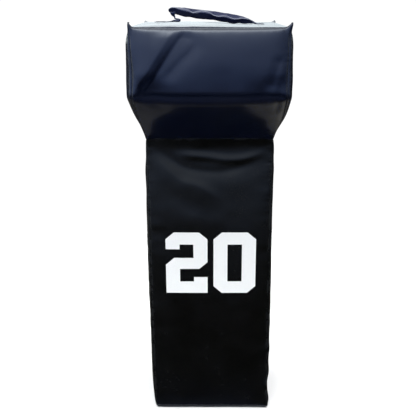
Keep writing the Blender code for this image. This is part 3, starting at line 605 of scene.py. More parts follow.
def vinyl_finish(name, colour, worn, rough, ior=1.5, **inputs):
    """Coated cloth: glossy, with a fine grain, the weave just showing, smudges and rubbed seams."""
    n = finish_nodes(name)
    edge = n.add("Attribute", {"attribute_name": "from_seam"}).outputs["Fac"]
    smudge = n.noise(9.0, 4.0)
    streak = n.noise(38.0, 5.0, 0.65)
    weave = n.add("VectorMath", {"operation": "MULTIPLY"}, i0=n.cloth(), i1=(5200.0, 5200.0, 0.0)).outputs[0]
    across, up, _ = n.add("SeparateXYZ", Vector=weave).outputs
    threads = n.calc("MULTIPLY", n.calc("SINE", across), n.calc("SINE", up))
    rubbed = n.calc("MULTIPLY", n.ramp(edge, 0.009, 0.0), n.ramp(streak, 0.42, 0.66))
    tone = n.mix(n.ramp(smudge, 0.35, 0.75, 0.0, 0.5), colour, worn)
    tone = n.mix(n.calc("MULTIPLY", rubbed, 0.5), tone, (0.010, 0.011, 0.013))
    gloss = n.ramp(smudge, 0.3, 0.75, rough - 0.03, rough + 0.06)
    gloss = n.calc("ADD", gloss, n.calc("MULTIPLY", rubbed, 0.16))
    gloss = n.calc("ADD", gloss, n.ramp(streak, 0.5, 0.85, 0.0, 0.06))
    normal = n.bump(threads, 0.00001, 0.5)
    normal = n.bump(n.cells(1100.0, "SMOOTH_F1"), 0.00003, 0.6, normal)
    normal = n.bump(n.noise(2400.0, 2.0), 0.00001, 0.4, normal)
    return n.surface(Base_Color=tone, Roughness=gloss, Normal=normal, IOR=ior, **inputs)


# Cover

def build_cover():
    """Panels of the cover, each with the CAD panel that it stands for."""
    head_vinyl = vinyl_finish("navy_black_vinyl", (0.0008, 0.0020, 0.0084), (0.0014, 0.0030, 0.0100), 0.20)
    # The column's vinyl tints what it mirrors warm: a painted reflection colour, so the bluish sky looks neutral in
    # it.
    body_vinyl = vinyl_finish("black_vinyl", (0.0010, 0.0010, 0.0007), (0.0022, 0.0021, 0.0017), 0.22, 1.42,
                              Specular_Tint=(1.0, 0.92, 0.72))
    # The top panel's vinyl is a lighter copy of the head's: painted light from the sky above it.
    top_vinyl = vinyl_finish("skylit_top_vinyl", (0.008, 0.010, 0.020), (0.022, 0.024, 0.030), 0.22)
    r = math.sqrt(0.5)

    def add(place, shape, size, folds, into, seed, material, cut=None):
        piece = panel(place + "_cover", shape, size, folds, into, seed, cut)
        piece.data.materials.append(material)
        stands(piece, "dummy", "vinyl", place + "_panel")

    add("column_front", column_front, (0.402, 0.975), column_front_folds,
        ((r, r, 0), (-r, r, 0), (0, r, r), NECK_WAY, (0, -1, 0)), 100, body_vinyl)
    for word, side in SIDES:
        add(f"column_{word}", column_side(side), (0.308, 0.975), column_side_folds(20 + side),
            ((-side * r, r, 0), (-side * r, -r, 0), (-side * r, 0, r), (-side, 0, 0), (side, 0, 0)),
            200 + 50 * side, body_vinyl)
        add(f"head_{word}", head_side(side), (0.420, 0.352), head_side_folds(30 + side),
            ((-side * r, r, 0), (-side * r, -r, 0), (-side, 0, 0), (-side * r, 0, -r), (side, 0, 0)),
            400 + 50 * side, head_vinyl)
    add("head_front", head_front, (0.446, 0.431), head_front_folds,
        ((r, r, 0), (-r, r, 0), NECK_WAY, (0, r, -r), (0, -1, 0)), 600, head_vinyl)
    add("top", top, (0.449, 0.486), top_folds,
        ((r, 0, -r), (-r, 0, -r), (0, r, -r), (0, -r, -r), (0, 0, 1)), 700, top_vinyl)
    for word, side in SIDES:
        def holes(middles, side=side):
            near = [np.hypot(middles[:, 0] - x, middles[:, 2] - z) < VENT_HOLE for x, z in VENTS[side]]
            return near[0] | near[1]

        add(f"back_{word}", back(side), BACK_FLAT, back_folds(side),
            ((0, -1, 0), (-side * r, -r, 0), (0, -r, r), (0, -r, -r), (0, 1, 0)),
            BACK_SEED + 50 * side, body_vinyl, cut=holes)


def block(name, rings, replaced, material):
    """A closed block through rings of points."""
    size = len(rings), len(rings[0])
    mesh = plain_mesh(name, [p for ring in rings for p in ring], end_faces(*size) + wall_faces(*size))
    stands(solid(name, mesh, material), "dummy", "foam", replaced)


def foam_finish():
    n = finish_nodes("cut_foam")
    tone = n.mix(n.noise(12.0), (0.62, 0.56, 0.42), (0.72, 0.68, 0.55))
    return n.surface(Base_Color=tone, Roughness=0.95, Normal=n.bump(n.cells(700.0), 0.0004, 0.8))


def build_foam():
    foam = foam_finish()

    def ring(front_y, z, half):
        steps = np.linspace(-1, 1, 25)[:-1]
        front = [(half * s, front_y, z) for s in steps]
        right = [(half, front_y + (FOAM_BACK - front_y) * (s + 1) / 2, z) for s in steps]
        rear = [(-half * s, FOAM_BACK, z) for s in steps]
        left = [(-half, FOAM_BACK + (front_y - FOAM_BACK) * (s + 1) / 2, z) for s in steps]
        return front + right + rear + left

    rings = []
    for z in np.linspace(FOAM_FOOT, NECK - 0.0004, 40):
        drawn = FOAM_SET + 0.006 * max(0.0, 1 - (z - FOAM_FOOT) / 0.010)
        rings.append(ring(FRONT + drawn, z, COLUMN_HALF - drawn))
    block("foam_column_block", rings, "foam_column", foam)
    rings = []
    _, edge_z, _, _, _, edge_half, _ = head_profile(np.linspace(0, 1, 80), NOSE_ROUND_ENDS)
    for v in np.linspace(0.0, 1.0, 30):
        y, z, *_ = head_profile(np.array(v), NOSE_ROUND)
        z = min(max(float(z), NECK + 0.0004), TOP - 0.008)
        half = float(np.interp(z, edge_z, edge_half))
        rings.append(ring(float(y) + FOAM_SET + 0.003, z, half - FOAM_SET - 0.003))
    block("foam_head_block", rings, "foam_head", foam)


# Printed number

DIGIT_TWO = [(-0.1465, 0.6458), (-0.1187, 0.6700), (-0.0352, 0.6700), (-0.0074, 0.6458), (-0.0074, 0.5655),
             (-0.0352, 0.5414), (-0.0996, 0.5414), (-0.0996, 0.4962), (-0.0527, 0.4962), (-0.0527, 0.5120),
             (-0.0074, 0.5120), (-0.0074, 0.4548), (-0.1465, 0.4548), (-0.1465, 0.5565), (-0.1187, 0.5806),
             (-0.0543, 0.5806), (-0.0543, 0.6280), (-0.1000, 0.6280), (-0.1000, 0.6110), (-0.1465, 0.6110)]
DIGIT_NOUGHT = [(0.0125, 0.6458), (0.0403, 0.6700), (0.1257, 0.6700), (0.1535, 0.6458),
                (0.1535, 0.4790), (0.1257, 0.4548), (0.0403, 0.4548), (0.0125, 0.4790)]
NOUGHT_HOLE = [(0.0590, 0.6280), (0.1070, 0.6280), (0.1070, 0.4967), (0.0590, 0.4967)]
INK_PROUD = (0.00030, 0.00005)  # how far the film's face and its foot stand off the cloth


def front_skin(x, z, proud):
    """Places on the front of the column, with its folds, standing proud of the cloth."""
    step = 0.001

    def skin(x, z):
        u, v = (x / COLUMN_HALF + 1) / 2, (z - FOOT) / (NECK - FOOT)
        points = column_front(u, v)[0]
        points[..., 1] -= column_front_folds(x, z)
        return drawn_out(points)

    here = skin(x, z)
    out = np.cross(skin(x + step, z) - here, skin(x, z + step) - here)
    out /= np.linalg.norm(out, axis=-1, keepdims=True)
    return here + out * np.asarray(proud)[..., None]


def within(point, loop):
    """Whether a point lies inside a closed outline."""
    crossings = 0
    for (ax, ay), (bx, by) in zip(loop, loop[1:] + loop[:1]):
        if (ay > point[1]) != (by > point[1]) and point[0] < ax + (point[1] - ay) * (bx - ax) / (by - ay):
            crossings += 1
    return crossings % 2 == 1


def print_digit(name, loops, ink):
    """A film of ink that follows the cloth under it."""
    cell = 0.004
    edge_points, edges = [], []
    for loop in loops:
        first = len(edge_points)
        for here, after in zip(loop, loop[1:] + loop[:1]):
            count = max(1, round(math.dist(here, after) / cell))
            edge_points += [tuple(a + (b - a) * k / count for a, b in zip(here, after)) for k in range(count)]
        edges += [(k, k + 1) for k in range(first, len(edge_points) - 1)] + [(len(edge_points) - 1, first)]
    low, high = np.min(loops[0], axis=0), np.max(loops[0], axis=0)
    columns, rows = (np.arange(low[k] + cell, high[k], cell) for k in (0, 1))
    grid = [(x, z) for x in columns for z in rows]
    starts = np.array([edge_points[a] for a, _ in edges])
    clear = np.linalg.norm(np.array(grid)[:, None] - starts[None], axis=-1).min(1) > cell * 0.6
    inside = [p for p, ok in zip(grid, clear) if ok]
    points, _, faces, _, _, _ = geometry.delaunay_2d_cdt(
        [Vector(p) for p in edge_points + inside], edges, [], 1, 0.00001)
    flat = np.array([tuple(p) for p in points])
    faces = [face for face in faces if not any(within(flat[list(face)].mean(0), hole) for hole in loops[1:])]
    film, foot = (front_skin(flat[:, 0], flat[:, 1], np.full(len(flat), proud)) for proud in INK_PROUD)
    count = len(flat)
    pairs = {(a, b) for face in faces for a, b in zip(face, list(face[1:]) + [face[0]])}
    rim = [(b, a, a + count, b + count) for a, b in pairs if (b, a) not in pairs]
    under = [tuple(i + count for i in reversed(f)) for f in faces]
    mesh = plain_mesh(name, np.concatenate([film, foot]), list(faces) + under + rim)
    mapped(mesh, np.concatenate([flat, flat]))
    piece = stands(solid(name, mesh, ink, 60), "dummy", "vinyl")
    piece.visible_glossy = False


def ink_finish():
    n = finish_nodes("white_screen_ink")
    scuffs = n.noise(55.0, 6.0, 0.7)
    mesh_mark = n.add("TexWave", {"wave_type": "BANDS"}, Scale=900.0, Vector=n.cloth()).outputs["Fac"]
    tone = n.mix(n.ramp(scuffs, 0.62, 0.80, 0.0, 0.35), (0.82, 0.84, 0.85), (0.66, 0.68, 0.70))
    cracks = n.ramp(n.cells(160.0, "DISTANCE_TO_EDGE"), 0.02, 0.0, 0.0, 0.25)
    normal = n.bump(mesh_mark, 0.000004, 0.3, n.bump(n.noise(2600.0), 0.00001, 0.5))
    return n.surface(Base_Color=n.mix(cracks, tone, (0.45, 0.46, 0.47)),
                     Roughness=n.ramp(scuffs, 0.3, 0.8, 0.34, 0.50), Normal=normal)


# Base

BASE_CORNER = 0.012  # radius on the floor
BASE_CORNER_HIGH = 0.002  # and at the seam
BASE_TUCK = 0.003  # how far the edge goes in behind the seam


def build_base():
    """The base panel, turned up all round to its seam, with its corners rounded."""
    per_side, wraps = 72, 10
    ways = ((0, 1), (-1, 0), (0, -1), (1, 0))

    def ring(half_x, half_y, corner, z):
        points = []
        for quarter, (side_x, side_y) in enumerate(((1, -1), (1, 1), (-1, 1), (-1, -1))):
            centre = np.array([side_x * (half_x - corner), side_y * (half_y - corner)])
            turns = [math.radians(90 * (quarter - 1) + 90 * step / 8) for step in range(9)]
            points += [centre + corner * np.array([math.cos(turn), math.sin(turn)]) for turn in turns]
            far, ahead = points[-1], np.array(ways[quarter])
            length = 2 * ((half_x if ahead[0] else half_y) - corner)
            points += [far + ahead * length * (step + 1) / per_side for step in range(per_side - 1)]
        return [[*p, z] for p in points]

    rings = []
    for step in range(wraps + 1):
        turn = math.pi / 2 * step / wraps
        drawn = FOOT * (1 - math.cos(turn))
        corner = BASE_CORNER_HIGH + (BASE_CORNER - BASE_CORNER_HIGH) * math.sin(turn)
        rings.append(ring(COLUMN_HALF - drawn, BACK - drawn, corner, FOOT * (1 - math.sin(turn))))
    for share in (0.7, 0.35, 0.05):
        rings.append(ring((COLUMN_HALF - FOOT) * share, (BACK - FOOT) * share, BASE_CORNER * share, 0.0))
    # The first ring is the edge, tucked in behind the seam
    tuck = np.array(rings[0]) + [0, 0, -0.0004]
    tuck = tuck * [1 - BASE_TUCK / COLUMN_HALF, 1 - BASE_TUCK / BACK, 1]
    points = np.concatenate([tuck[None], np.array(rings)])
    levels, sides = points.shape[:2]
    around = np.linspace(0, 1, sides, endpoint=False)
    gather = 0.00045 * rumple(around * 1.4, around * 0, 0.010, 901)
    gather = gather + 0.0008 * rumple(around * 1.4, around * 0 + 1, 0.04, 902)
    for level in range(2, wraps + 1):
        outward = points[level] * [1, 1, 0]
        outward /= np.linalg.norm(outward, axis=1, keepdims=True)
        points[level] += outward * (gather * math.sin(math.pi * (level - 1) / wraps))[:, None]
    points = drawn_out(points)
    points[..., 2] = np.maximum(points[..., 2], 0.0)
    points = points.reshape(-1, 3)
    faces = [face[:1] + face[:0:-1] for face in wall_faces(levels, sides)]
    mesh = plain_mesh("base_cover", points, faces + [end_faces(levels, sides)[1][::-1]])
    near = np.repeat(np.clip(np.arange(levels) - 1, 0, wraps) * FOOT * math.pi / 2 / wraps, sides)
    mapped(mesh, points[:, :2], near)
    mesh.shade_smooth()
    vinyl = vinyl_finish("base_vinyl_finish", (0.0040, 0.0040, 0.0036), (0.0120, 0.0116, 0.0104), 0.34)
    mesh.materials.append(vinyl)
    piece = stands(walled(linked("base_cover", mesh)), "dummy", "base_vinyl", "base_panel")


# Handle

# The grip, from its held-up left end down to the right: x, z and half height of its middle line
GRIP_STATIONS = ((-0.1274, 1.3752, 0.0008), (-0.1262, 1.3752, 0.0042), (-0.1228, 1.3750, 0.0071),
                 (-0.1180, 1.3746, 0.0098), (-0.1067, 1.3741, 0.0108), (-0.0950, 1.3724, 0.0116),
                 (-0.0778, 1.3695, 0.0136), (-0.0521, 1.3667, 0.0141), (-0.0264, 1.3634, 0.0142),
                 (0.0000, 1.3604, 0.0138), (0.0250, 1.3570, 0.0143), (0.0507, 1.3533, 0.0145),
                 (0.0764, 1.3487, 0.0142), (0.1021, 1.3452, 0.0121), (0.1149, 1.3428, 0.0099),
                 (0.1278, 1.3399, 0.0064), (0.1390, 1.3372, 0.0028), (0.1450, 1.3358, 0.0012))
# Where its front crease runs, and how flat the sleeve lies just above it, in shares of the half height
CREASE_AT = (-0.125, -0.104, -0.091, -0.065, -0.052, -0.039, -0.026, -0.013, 0.0, 0.012, 0.025, 0.038, 0.051,
             0.064, 0.076, 0.089, 0.102, 0.115, 0.130)
CREASE_SHARES = (0.80, 0.72, 0.48, 0.30, 0.08, 0.26, 0.52, 0.54, 0.42, 0.04, -0.04, 0.08, 0.16, 0.06, 0.0, 0.10,
                 0.40, 0.62, 0.70)
LEDGE_SHARES = (0.0, 0.0, 0.1, 0.2, 1.0, 0.3, 0.0, 0.0, 0.2, 1.0, 1.0, 0.7, 0.3, 0.9, 1.0, 0.8, 0.2, 0.0, 0.0)
# Each strap, from its sewn end to the grip: x, z, width and thickness
STRAP_LEFT = (
    (-0.1692, 1.3404, 0.0290, 0.0020), (-0.1500, 1.3405, 0.0290, 0.0022), (-0.1300, 1.3408, 0.0285, 0.0024),
    (-0.1190, 1.3418, 0.0250, 0.0034), (-0.1100, 1.3436, 0.0210, 0.0064), (-0.1000, 1.3438, 0.0180, 0.0074),
    (-0.0930, 1.3440, 0.0165, 0.0064), (-0.0918, 1.3465, 0.0160, 0.0050), (-0.0960, 1.3486, 0.0155, 0.0046),
    (-0.1020, 1.3493, 0.0145, 0.0046), (-0.1068, 1.3508, 0.0135, 0.0048), (-0.1080, 1.3535, 0.0125, 0.0050),
    (-0.1086, 1.3562, 0.0125, 0.0058), (-0.1108, 1.3594, 0.0135, 0.0086), (-0.1122, 1.3620, 0.0150, 0.0122),
    (-0.1130, 1.3655, 0.0165, 0.0162), (-0.1135, 1.3700, 0.0160, 0.0165))
STRAP_RIGHT = (
    (0.1690, 1.3340, 0.0280, 0.0022), (0.1560, 1.3343, 0.0280, 0.0024), (0.1480, 1.3347, 0.0210, 0.0034),
    (0.1410, 1.3358, 0.0120, 0.0046), (0.1330, 1.3382, 0.0100, 0.0050))
# Each tab's sewn box: its side, where it begins and ends, and its height
TAB_BOXES = (("left", -1, 0.1370, 0.1650, 1.34165), ("right", 1, 0.1500, 0.1660, 1.33555))
TAB_BOX_HALF = 0.0110
GRIP_GIRTH = 0.080
GRIP_SEAM = 30  # the place around the section where the sleeve's seam runs
SEWN = slice(30, -34)  # the rings beside which that seam is stitched


def grip_rings(line, half):
    """The sleeve's folded section: a sloping upper side, a crease, an undercut front and a flat foot."""
    crease = np.interp(line[:, 0], CREASE_AT, CREASE_SHARES)
    ledge = np.interp(line[:, 0], CREASE_AT, LEDGE_SHARES)
    straight = crease + (0.97 - crease) * 0.46
    low = straight + (crease + 0.09 - straight) * ledge
    one = np.ones(len(line))
    corners = [(-1.0 * one, crease), (-0.34 * one, low), (0.42 * one, 0.97 * one), (0.98 * one, 0.30 * one),
               (0.62 * one, -0.88 * one), (-0.34 * one, -0.97 * one)]
    rings = []
    for (d0, r0), (d1, r1), count in zip(corners, corners[1:] + corners[:1], (8, 12, 10, 12, 12, 10)):
        for k in range(count):
            rings.append(np.stack([d0 + (d1 - d0) * k / count, r0 + (r1 - r0) * k / count], -1))
    section = np.stack(rings, 1)
    for _ in range(3):  # rounds the corners off
        section = sum(weight * np.roll(section, shift, 1) for shift, weight in ((-1, 2), (0, 5), (1, 2))) / 9
    return section * half[:, None, None] * np.array([0.90, 1.0])


def over_handle(stations):
    """A line over the handle's middle, from stations that begin with x and z."""
    return np.stack([stations[:, 0], np.full(len(stations), HANDLE_Y), stations[:, 1]], -1)


def run_lengths(line):
    return np.concatenate([[0], np.cumsum(np.linalg.norm(np.diff(line, axis=0), axis=1))])


def tube(name, line, section, material):
    """A tube along a line in the handle's upright plane. `section` gives each ring's depth and rise."""
    ahead = np.gradient(line, axis=0)
    ahead /= np.linalg.norm(ahead, axis=1, keepdims=True)
    depth = np.array([0.0, 1.0, 0.0])
    rise = np.cross(ahead, depth)
    rings, sides = section.shape[:2]
    points = line[:, None] + section[..., 0:1] * depth + section[..., 1:2] * rise[:, None]
    mesh = plain_mesh(name, points.reshape(-1, 3), wall_faces(rings, sides) + end_faces(rings, sides))
    around = np.tile(np.arange(sides) / sides * 0.09, rings)
    mapped(mesh, np.stack([np.repeat(run_lengths(line), sides), around], -1), np.full(rings * sides, 0.02))
    piece = solid(name, mesh, material)
    piece.visible_glossy = False
    return piece


def strap(name, stations, steps, seed, vinyl, replaced):
    made = smooth_line(stations, steps)
    half, thick = made[:, 2:3] / 2, made[:, 3:4] / 2
    around = np.linspace(0, 2 * math.pi, 36, endpoint=False)[None]
    across = np.sign(np.cos(around)) * np.abs(np.cos(around)) ** 0.40
    up = np.sign(np.sin(around)) * np.abs(np.sin(around)) ** 0.55
    ripple = rumple(np.linspace(0, 0.1, len(made))[:, None] + around * 0, around * 0.01, 0.012, seed)
    ripple = 1 + 0.12 * ripple
    piece = tube(name, over_handle(made), np.stack([half * across * ripple, thick * up * ripple], -1), vinyl)
    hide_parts(*replaced)
    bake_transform(piece)


def build_handle(thread):
    vinyl = vinyl_finish("handle_vinyl", (0.0002, 0.0018, 0.0240), (0.0008, 0.0028, 0.0270), 0.15, 1.38)
    stations = smooth_line(GRIP_STATIONS, 190)
    line = over_handle(stations)
    section = grip_rings(line, stations[:, 2])
    rings, sides = section.shape[:2]
    lengths = run_lengths(line)
    girth, length = np.meshgrid(np.arange(sides) / sides * GRIP_GIRTH, lengths)
    turn = girth / GRIP_GIRTH * 2 * math.pi
    ends = np.exp(-length / 0.018) + 0.8 * np.exp(-(lengths[-1] - length) / 0.030)
    pleats = 0.0009 * ends * np.sin(9 * turn + 60 * length)
    pleats = pleats * (0.4 + 0.6 * rumple(girth, length * 0, 0.012, 51))
    slant = length + 0.60 * girth
    cross = 0.0011 * rumple(slant, girth * 0.30, 0.019, 52)
    fine = 0.0004 * rumple(slant, girth, 0.008, 54)
    broad = 0.0012 * rumple(length, girth * 0.5, 0.050, 53)
    seam = 0.0016 * np.exp(-(((np.arange(sides)[None] - GRIP_SEAM) / 0.9) ** 2))
    relief = (pleats + cross + fine + broad + seam) * np.clip(stations[:, 2:3] / 0.009, 0, 1) ** 1.5
    reach = np.maximum(np.linalg.norm(section, axis=-1, keepdims=True), 1e-6)
    sleeve = tube("handle_sleeve_cover", line, section * (1 + relief[..., None] / reach), vinyl)
    stands(sleeve, "handle", "vinyl", "handle_sleeve", "handle_core")
    skin = np.array([p.co for p in sleeve.data.vertices]).reshape(rings, sides, 3)
    seam_run = skin[SEWN, GRIP_SEAM + 3]
    stitch_row("handle_seam_stitches", seam_run, seam_run - line[SEWN], thread, "handle")
    strap("handle_strap_left", STRAP_LEFT, 110, 17, vinyl, ("handle_tab_left", "handle_leg_left"))
    strap("handle_strap_right", STRAP_RIGHT, 40, 18, vinyl, ("handle_tab_right", "handle_leg_right"))
    for word, side, near, far, height in TAB_BOXES:
        box = ((near, -1), (far, -1), (far, 1), (near, 1), (near, -1), (far, 1), (near, 1), (far, -1))
        corners = [np.array([side * x, HANDLE_Y + way * TAB_BOX_HALF, height]) for x, way in box]
        run = even_run(corners, STITCH_PITCH)
        stitch_row(f"tab_{word}_stitches", run, np.tile([0.0, 0.0, 1.0], (len(run), 1)), thread, "dummy")


# Rows made with Geometry Nodes

STITCH_PITCH = 0.0038
STITCH_SIZE = (0.00150, 0.00036, 0.00030)  # half length, width and height


def even_run(corners, pitch):
    """Even places along straight runs between corners."""
    places = []
    for here, after in zip(corners, corners[1:]):
        count = max(1, int(np.linalg.norm(after - here) / pitch))
        places += [here + (after - here) * (k + 0.5) / count for k in range(count)]
    return np.array(places)


def row_tree(name, template):
    """Instances along a row of places: each lies along the row and faces out of the surface."""
    tree = bpy.data.node_groups.new(name, "GeometryNodeTree")
    sockets = [tree.interface.new_socket(word, in_out=way, socket_type="NodeSocket" + kind) for word, way, kind in (
        ("Places", "INPUT", "Geometry"), ("Size", "INPUT", "Vector"), ("Finish", "INPUT", "Material"),
        ("Row", "OUTPUT", "Geometry"))]
    n = Nodes(tree, prefix="")
    start = n.add("NodeGroupInput").outputs
    points = n.add("GeometryNodeMeshToPoints", Mesh=start["Places"]).outputs["Points"]
    if template is None:
        model = n.add("GeometryNodeMeshUVSphere", Segments=8, Rings=6).outputs["Mesh"]
    else:
        model = n.add("GeometryNodeObjectInfo", Object=template).outputs["Geometry"]
    rows = n.add("GeometryNodeInstanceOnPoints", Points=points, Instance=model, Scale=start["Size"])
    turned = None
    for axis, pivot, attribute in (("X", "AUTO", "along"), ("Z", "X", "out")):
        read = n.add("GeometryNodeInputNamedAttribute", {"data_type": "FLOAT_VECTOR"}, Name=attribute)
        turn = n.add("FunctionNodeAlignRotationToVector", {"axis": axis, "pivot_axis": pivot},
                     Vector=read.outputs["Attribute"])
        if turned:
            n.feed(turn, "Rotation", turned)
        turned = turn.outputs["Rotation"]
    n.feed(rows, "Rotation", turned)
    real = n.add("GeometryNodeRealizeInstances", Geometry=rows.outputs["Instances"]).outputs["Geometry"]
    painted = n.add("GeometryNodeSetMaterial", Geometry=real, Material=start["Finish"]).outputs["Geometry"]
    n.add("NodeGroupOutput", Row=painted)
    return tree, sockets[1].identifier, sockets[2].identifier


def make_row(name, places, alongs, outs, size, finish, body, slot, template=None):
    tree, size_input, finish_input = row_tree(name + "_rule", template)
    mesh = plain_mesh(name, places)
    for key, values in (("along", alongs), ("out", outs)):
        mesh.attributes.new(key, "FLOAT_VECTOR", "POINT").data.foreach_set(
            "vector", np.asarray(values, dtype=np.float32).ravel())
    piece = linked(name, mesh)
    rule = piece.modifiers.new("row", "NODES")
    rule.node_group = tree
    rule[size_input] = size
    rule[finish_input] = finish
    made = bpy.data.meshes.new_from_object(piece.evaluated_get(bpy.context.evaluated_depsgraph_get()))
    piece.modifiers.remove(rule)
    piece.data = made
    made.name = name
    made.shade_smooth()
    stands(piece, body, slot)


def stitch_row(name, places, outs, thread, body):
    """A row of stitches along close places, half sunk in the cloth."""
    steps = run_lengths(places)
    if np.median(np.diff(steps)) < STITCH_PITCH * 0.9:
        at = np.arange(STITCH_PITCH / 2, steps[-1], STITCH_PITCH)
        places, outs = (np.stack([np.interp(at, steps, row[:, k]) for k in range(3)], -1)
                        for row in (places, outs))
    outs = outs / np.linalg.norm(outs, axis=1, keepdims=True)
    alongs = np.gradient(places, axis=0)
    make_row(name, places + outs * STITCH_SIZE[2] / 2, alongs, outs, STITCH_SIZE, thread, body, "webbing")


def thread_finish():
    n = finish_nodes("bonded_thread")
    twist = n.add("TexWave", {"wave_type": "BANDS", "bands_direction": "DIAGONAL"}, Scale=700.0,
                  Vector=n.places()).outputs["Fac"]
    tone = n.mix(n.noise(300.0), (0.010, 0.010, 0.012), (0.028, 0.028, 0.032))
    return n.surface(Base_Color=tone, Roughness=0.55, Normal=n.bump(twist, 0.0001, 0.6))


# Zip, vents and metal

TOOTH_PITCH = 0.0042
TOOTH_COUNT = 181
TOOTH_HALF = 0.0013
CHAIN_LOW, CHAIN_HIGH = 0.140, 0.902
TAPE_INNER, TAPE_EDGE = 0.0028, 0.019
TAPE_SPARE = 0.018
TAPE_THICK = 0.0008
STITCHED = (0.118, 0.925)  # heights between which the closure's edges are stitched
STITCH_SET = 0.0036  # how far from the edge
TOOTH_OUTLINE = ((0.0048, -0.00110), (0.0030, -0.00105), (0.0016, -0.00068), (0.0004, -0.00062),
                 (-0.0006, -0.00100), (-0.0014, -0.00095), (-0.0018, -0.00055), (-0.0018, 0.00055),
                 (-0.0014, 0.00095), (-0.0006, 0.00100), (0.0004, 0.00062), (0.0016, 0.00068),
                 (0.0030, 0.00105), (0.0048, 0.00110))
# Radius and height of each turned ring's closed profile
EYELET = ((0.0040, -0.0030), (0.0040, 0.0004), (0.0041, 0.0008), (0.0044, 0.0012), (0.0049, 0.0014),
          (0.0055, 0.00145), (0.0063, 0.00138), (0.0072, 0.00115), (0.0081, 0.00080), (0.0087, 0.00050),
          (0.0090, 0.00020), (0.0090, 0.0), (0.0048, 0.0), (0.0048, -0.0022), (0.0056, -0.0023),
          (0.0056, -0.0030))
WASHER = ((0.0051, -0.0014), (0.0088, -0.0014), (0.0090, -0.0016), (0.0090, -0.0019), (0.0088, -0.0021),
          (0.0051, -0.0021))


def tooth_template():
    count = len(TOOTH_OUTLINE)
    # X of the tooth's outline runs across the chain, which is the row's second axis
    points = [(z, x, y) for y in (-TOOTH_HALF, TOOTH_HALF) for x, z in TOOTH_OUTLINE]
    faces = [tuple(range(count)), tuple(range(2 * count - 1, count - 1, -1))]
    faces += [(k, count + k, count + (k + 1) % count, (k + 1) % count) for k in range(count)]

    def chamfer(shape):
        rims = [e for e in shape.edges if abs(e.verts[0].co.z - e.verts[1].co.z) < 1e-6]
        bmesh.ops.bevel(shape, geom=rims, offset=0.00025, segments=1, affect="EDGES")

    return solid("tooth", plain_mesh("tooth", points, faces), work=chamfer)


def metal_finish(name, colour, dull, rough, brushed):
    n = finish_nodes(name)
    marks = n.noise(60.0, 5.0, 0.65)
    scratch = n.add("Mapping", {"vector_type": "POINT"}, Vector=n.places(), Scale=(1.0, 1.0, brushed))
    lines = n.noise(900.0, 3.0, 0.6, scratch.outputs["Vector"])
    tone = n.mix(n.ramp(marks, 0.45, 0.75, 0.0, 0.8), colour, dull)
    gloss = n.calc("ADD", n.ramp(marks, 0.3, 0.8, rough, rough + 0.18), n.ramp(lines, 0.4, 0.8, 0.0, 0.08))
    normal = n.bump(lines, 0.00002, 0.5, n.bump(marks, 0.00006, 0.4))
    return n.surface(Base_Color=tone, Roughness=gloss, Normal=normal,
                     Metallic=n.ramp(marks, 0.6, 0.95, 1.0, 0.85))


def refined(node, name, body, finish, width=0.0003):
    """A CAD piece with its edges rounded, in place of the plain one."""
    def rounded(shape):
        bmesh.ops.remove_doubles(shape, verts=shape.verts, dist=1e-6)
        bmesh.ops.dissolve_limit(shape, angle_limit=math.radians(1), verts=shape.verts, edges=shape.edges)
        sharp = [e for e in shape.edges if len(e.link_faces) == 2 and e.calc_face_angle() > math.radians(30)]
        bmesh.ops.bevel(shape, geom=sharp, offset=width, segments=2, affect="EDGES", clamp_overlap=True)

    mesh = NODES[node].data.copy()
    mesh.name = name
    stands(solid(name, mesh, finish, 50, rounded), body, "nickel", node)


def build_zip():
    plastic, woven, template = moulded_finish(), tape_finish(), tooth_template()
    for word, side in SIDES:
        z, x = np.meshgrid(np.linspace(CHAIN_LOW - TAPE_SPARE, CHAIN_HIGH + TAPE_SPARE, 260),
                           np.linspace(TAPE_INNER, TAPE_EDGE, 9), indexing="ij")
        y = CHAIN_Y + 0.0004 - 0.0003 * ease((x - 0.006) / 0.012) * (1 + rumple(z, x, 0.02, 61 + side))
        tape = sheet_mesh(f"zip_tape_{word}_cloth", np.stack([side * x, y, z], -1), (0, 1, 0),
                          np.stack([x, z], -1), np.full(x.shape, 0.02), thick=TAPE_THICK)
        tape.data.materials.append(woven)
        stands(tape, "dummy", "zip_chain", f"zip_tape_{word}")
        low = CHAIN_LOW + (0.0 if side > 0 else TOOTH_PITCH / 2) + TOOTH_PITCH / 2
        places = np.array([(0.0, CHAIN_Y, low + TOOTH_PITCH * k) for k in range(TOOTH_COUNT)])
        # Along +Z and out towards +Y turns the tooth's second axis to +X; downwards turns it to -X
        alongs, outs = (np.tile(way, (TOOTH_COUNT, 1)) for way in ([0.0, 0.0, float(side)], [0.0, 1.0, 0.0]))
        make_row(f"zip_teeth_{word}", places, alongs, outs, (1.0, 1.0, 1.0), plastic, "dummy", "zip_chain",
                 template)
    bpy.data.objects.remove(template)


def moulded_finish():
    n = finish_nodes("moulded_black_plastic")
    speckle = n.noise(500.0)
    tone = n.mix(speckle, (0.006, 0.006, 0.007), (0.014, 0.014, 0.015))
    return n.surface(Base_Color=tone, Roughness=n.ramp(speckle, 0.3, 0.7, 0.30, 0.42),
                     Normal=n.bump(n.noise(1800.0), 0.00002, 0.5))


def tape_finish():
    n = finish_nodes("woven_zip_tape")
    across, up, _ = n.add("SeparateXYZ", Vector=n.cloth()).outputs
    ribs = n.calc("SINE", n.calc("MULTIPLY", across, 6000.0))
    picks = n.calc("SINE", n.calc("ADD", n.calc("MULTIPLY", up, 4500.0), n.calc("MULTIPLY", ribs, 1.2)))
    weave = n.calc("MULTIPLY", ribs, picks)
    tone = n.mix(n.ramp(weave, -1.0, 1.0), (0.004, 0.004, 0.005), (0.012, 0.012, 0.014))
    tone = n.mix(n.ramp(n.noise(90.0, 5.0), 0.55, 0.8, 0.0, 0.4), tone, (0.024, 0.023, 0.022))
    return n.surface(Base_Color=tone, Roughness=0.82, Normal=n.bump(weave, 0.00012, 0.8))


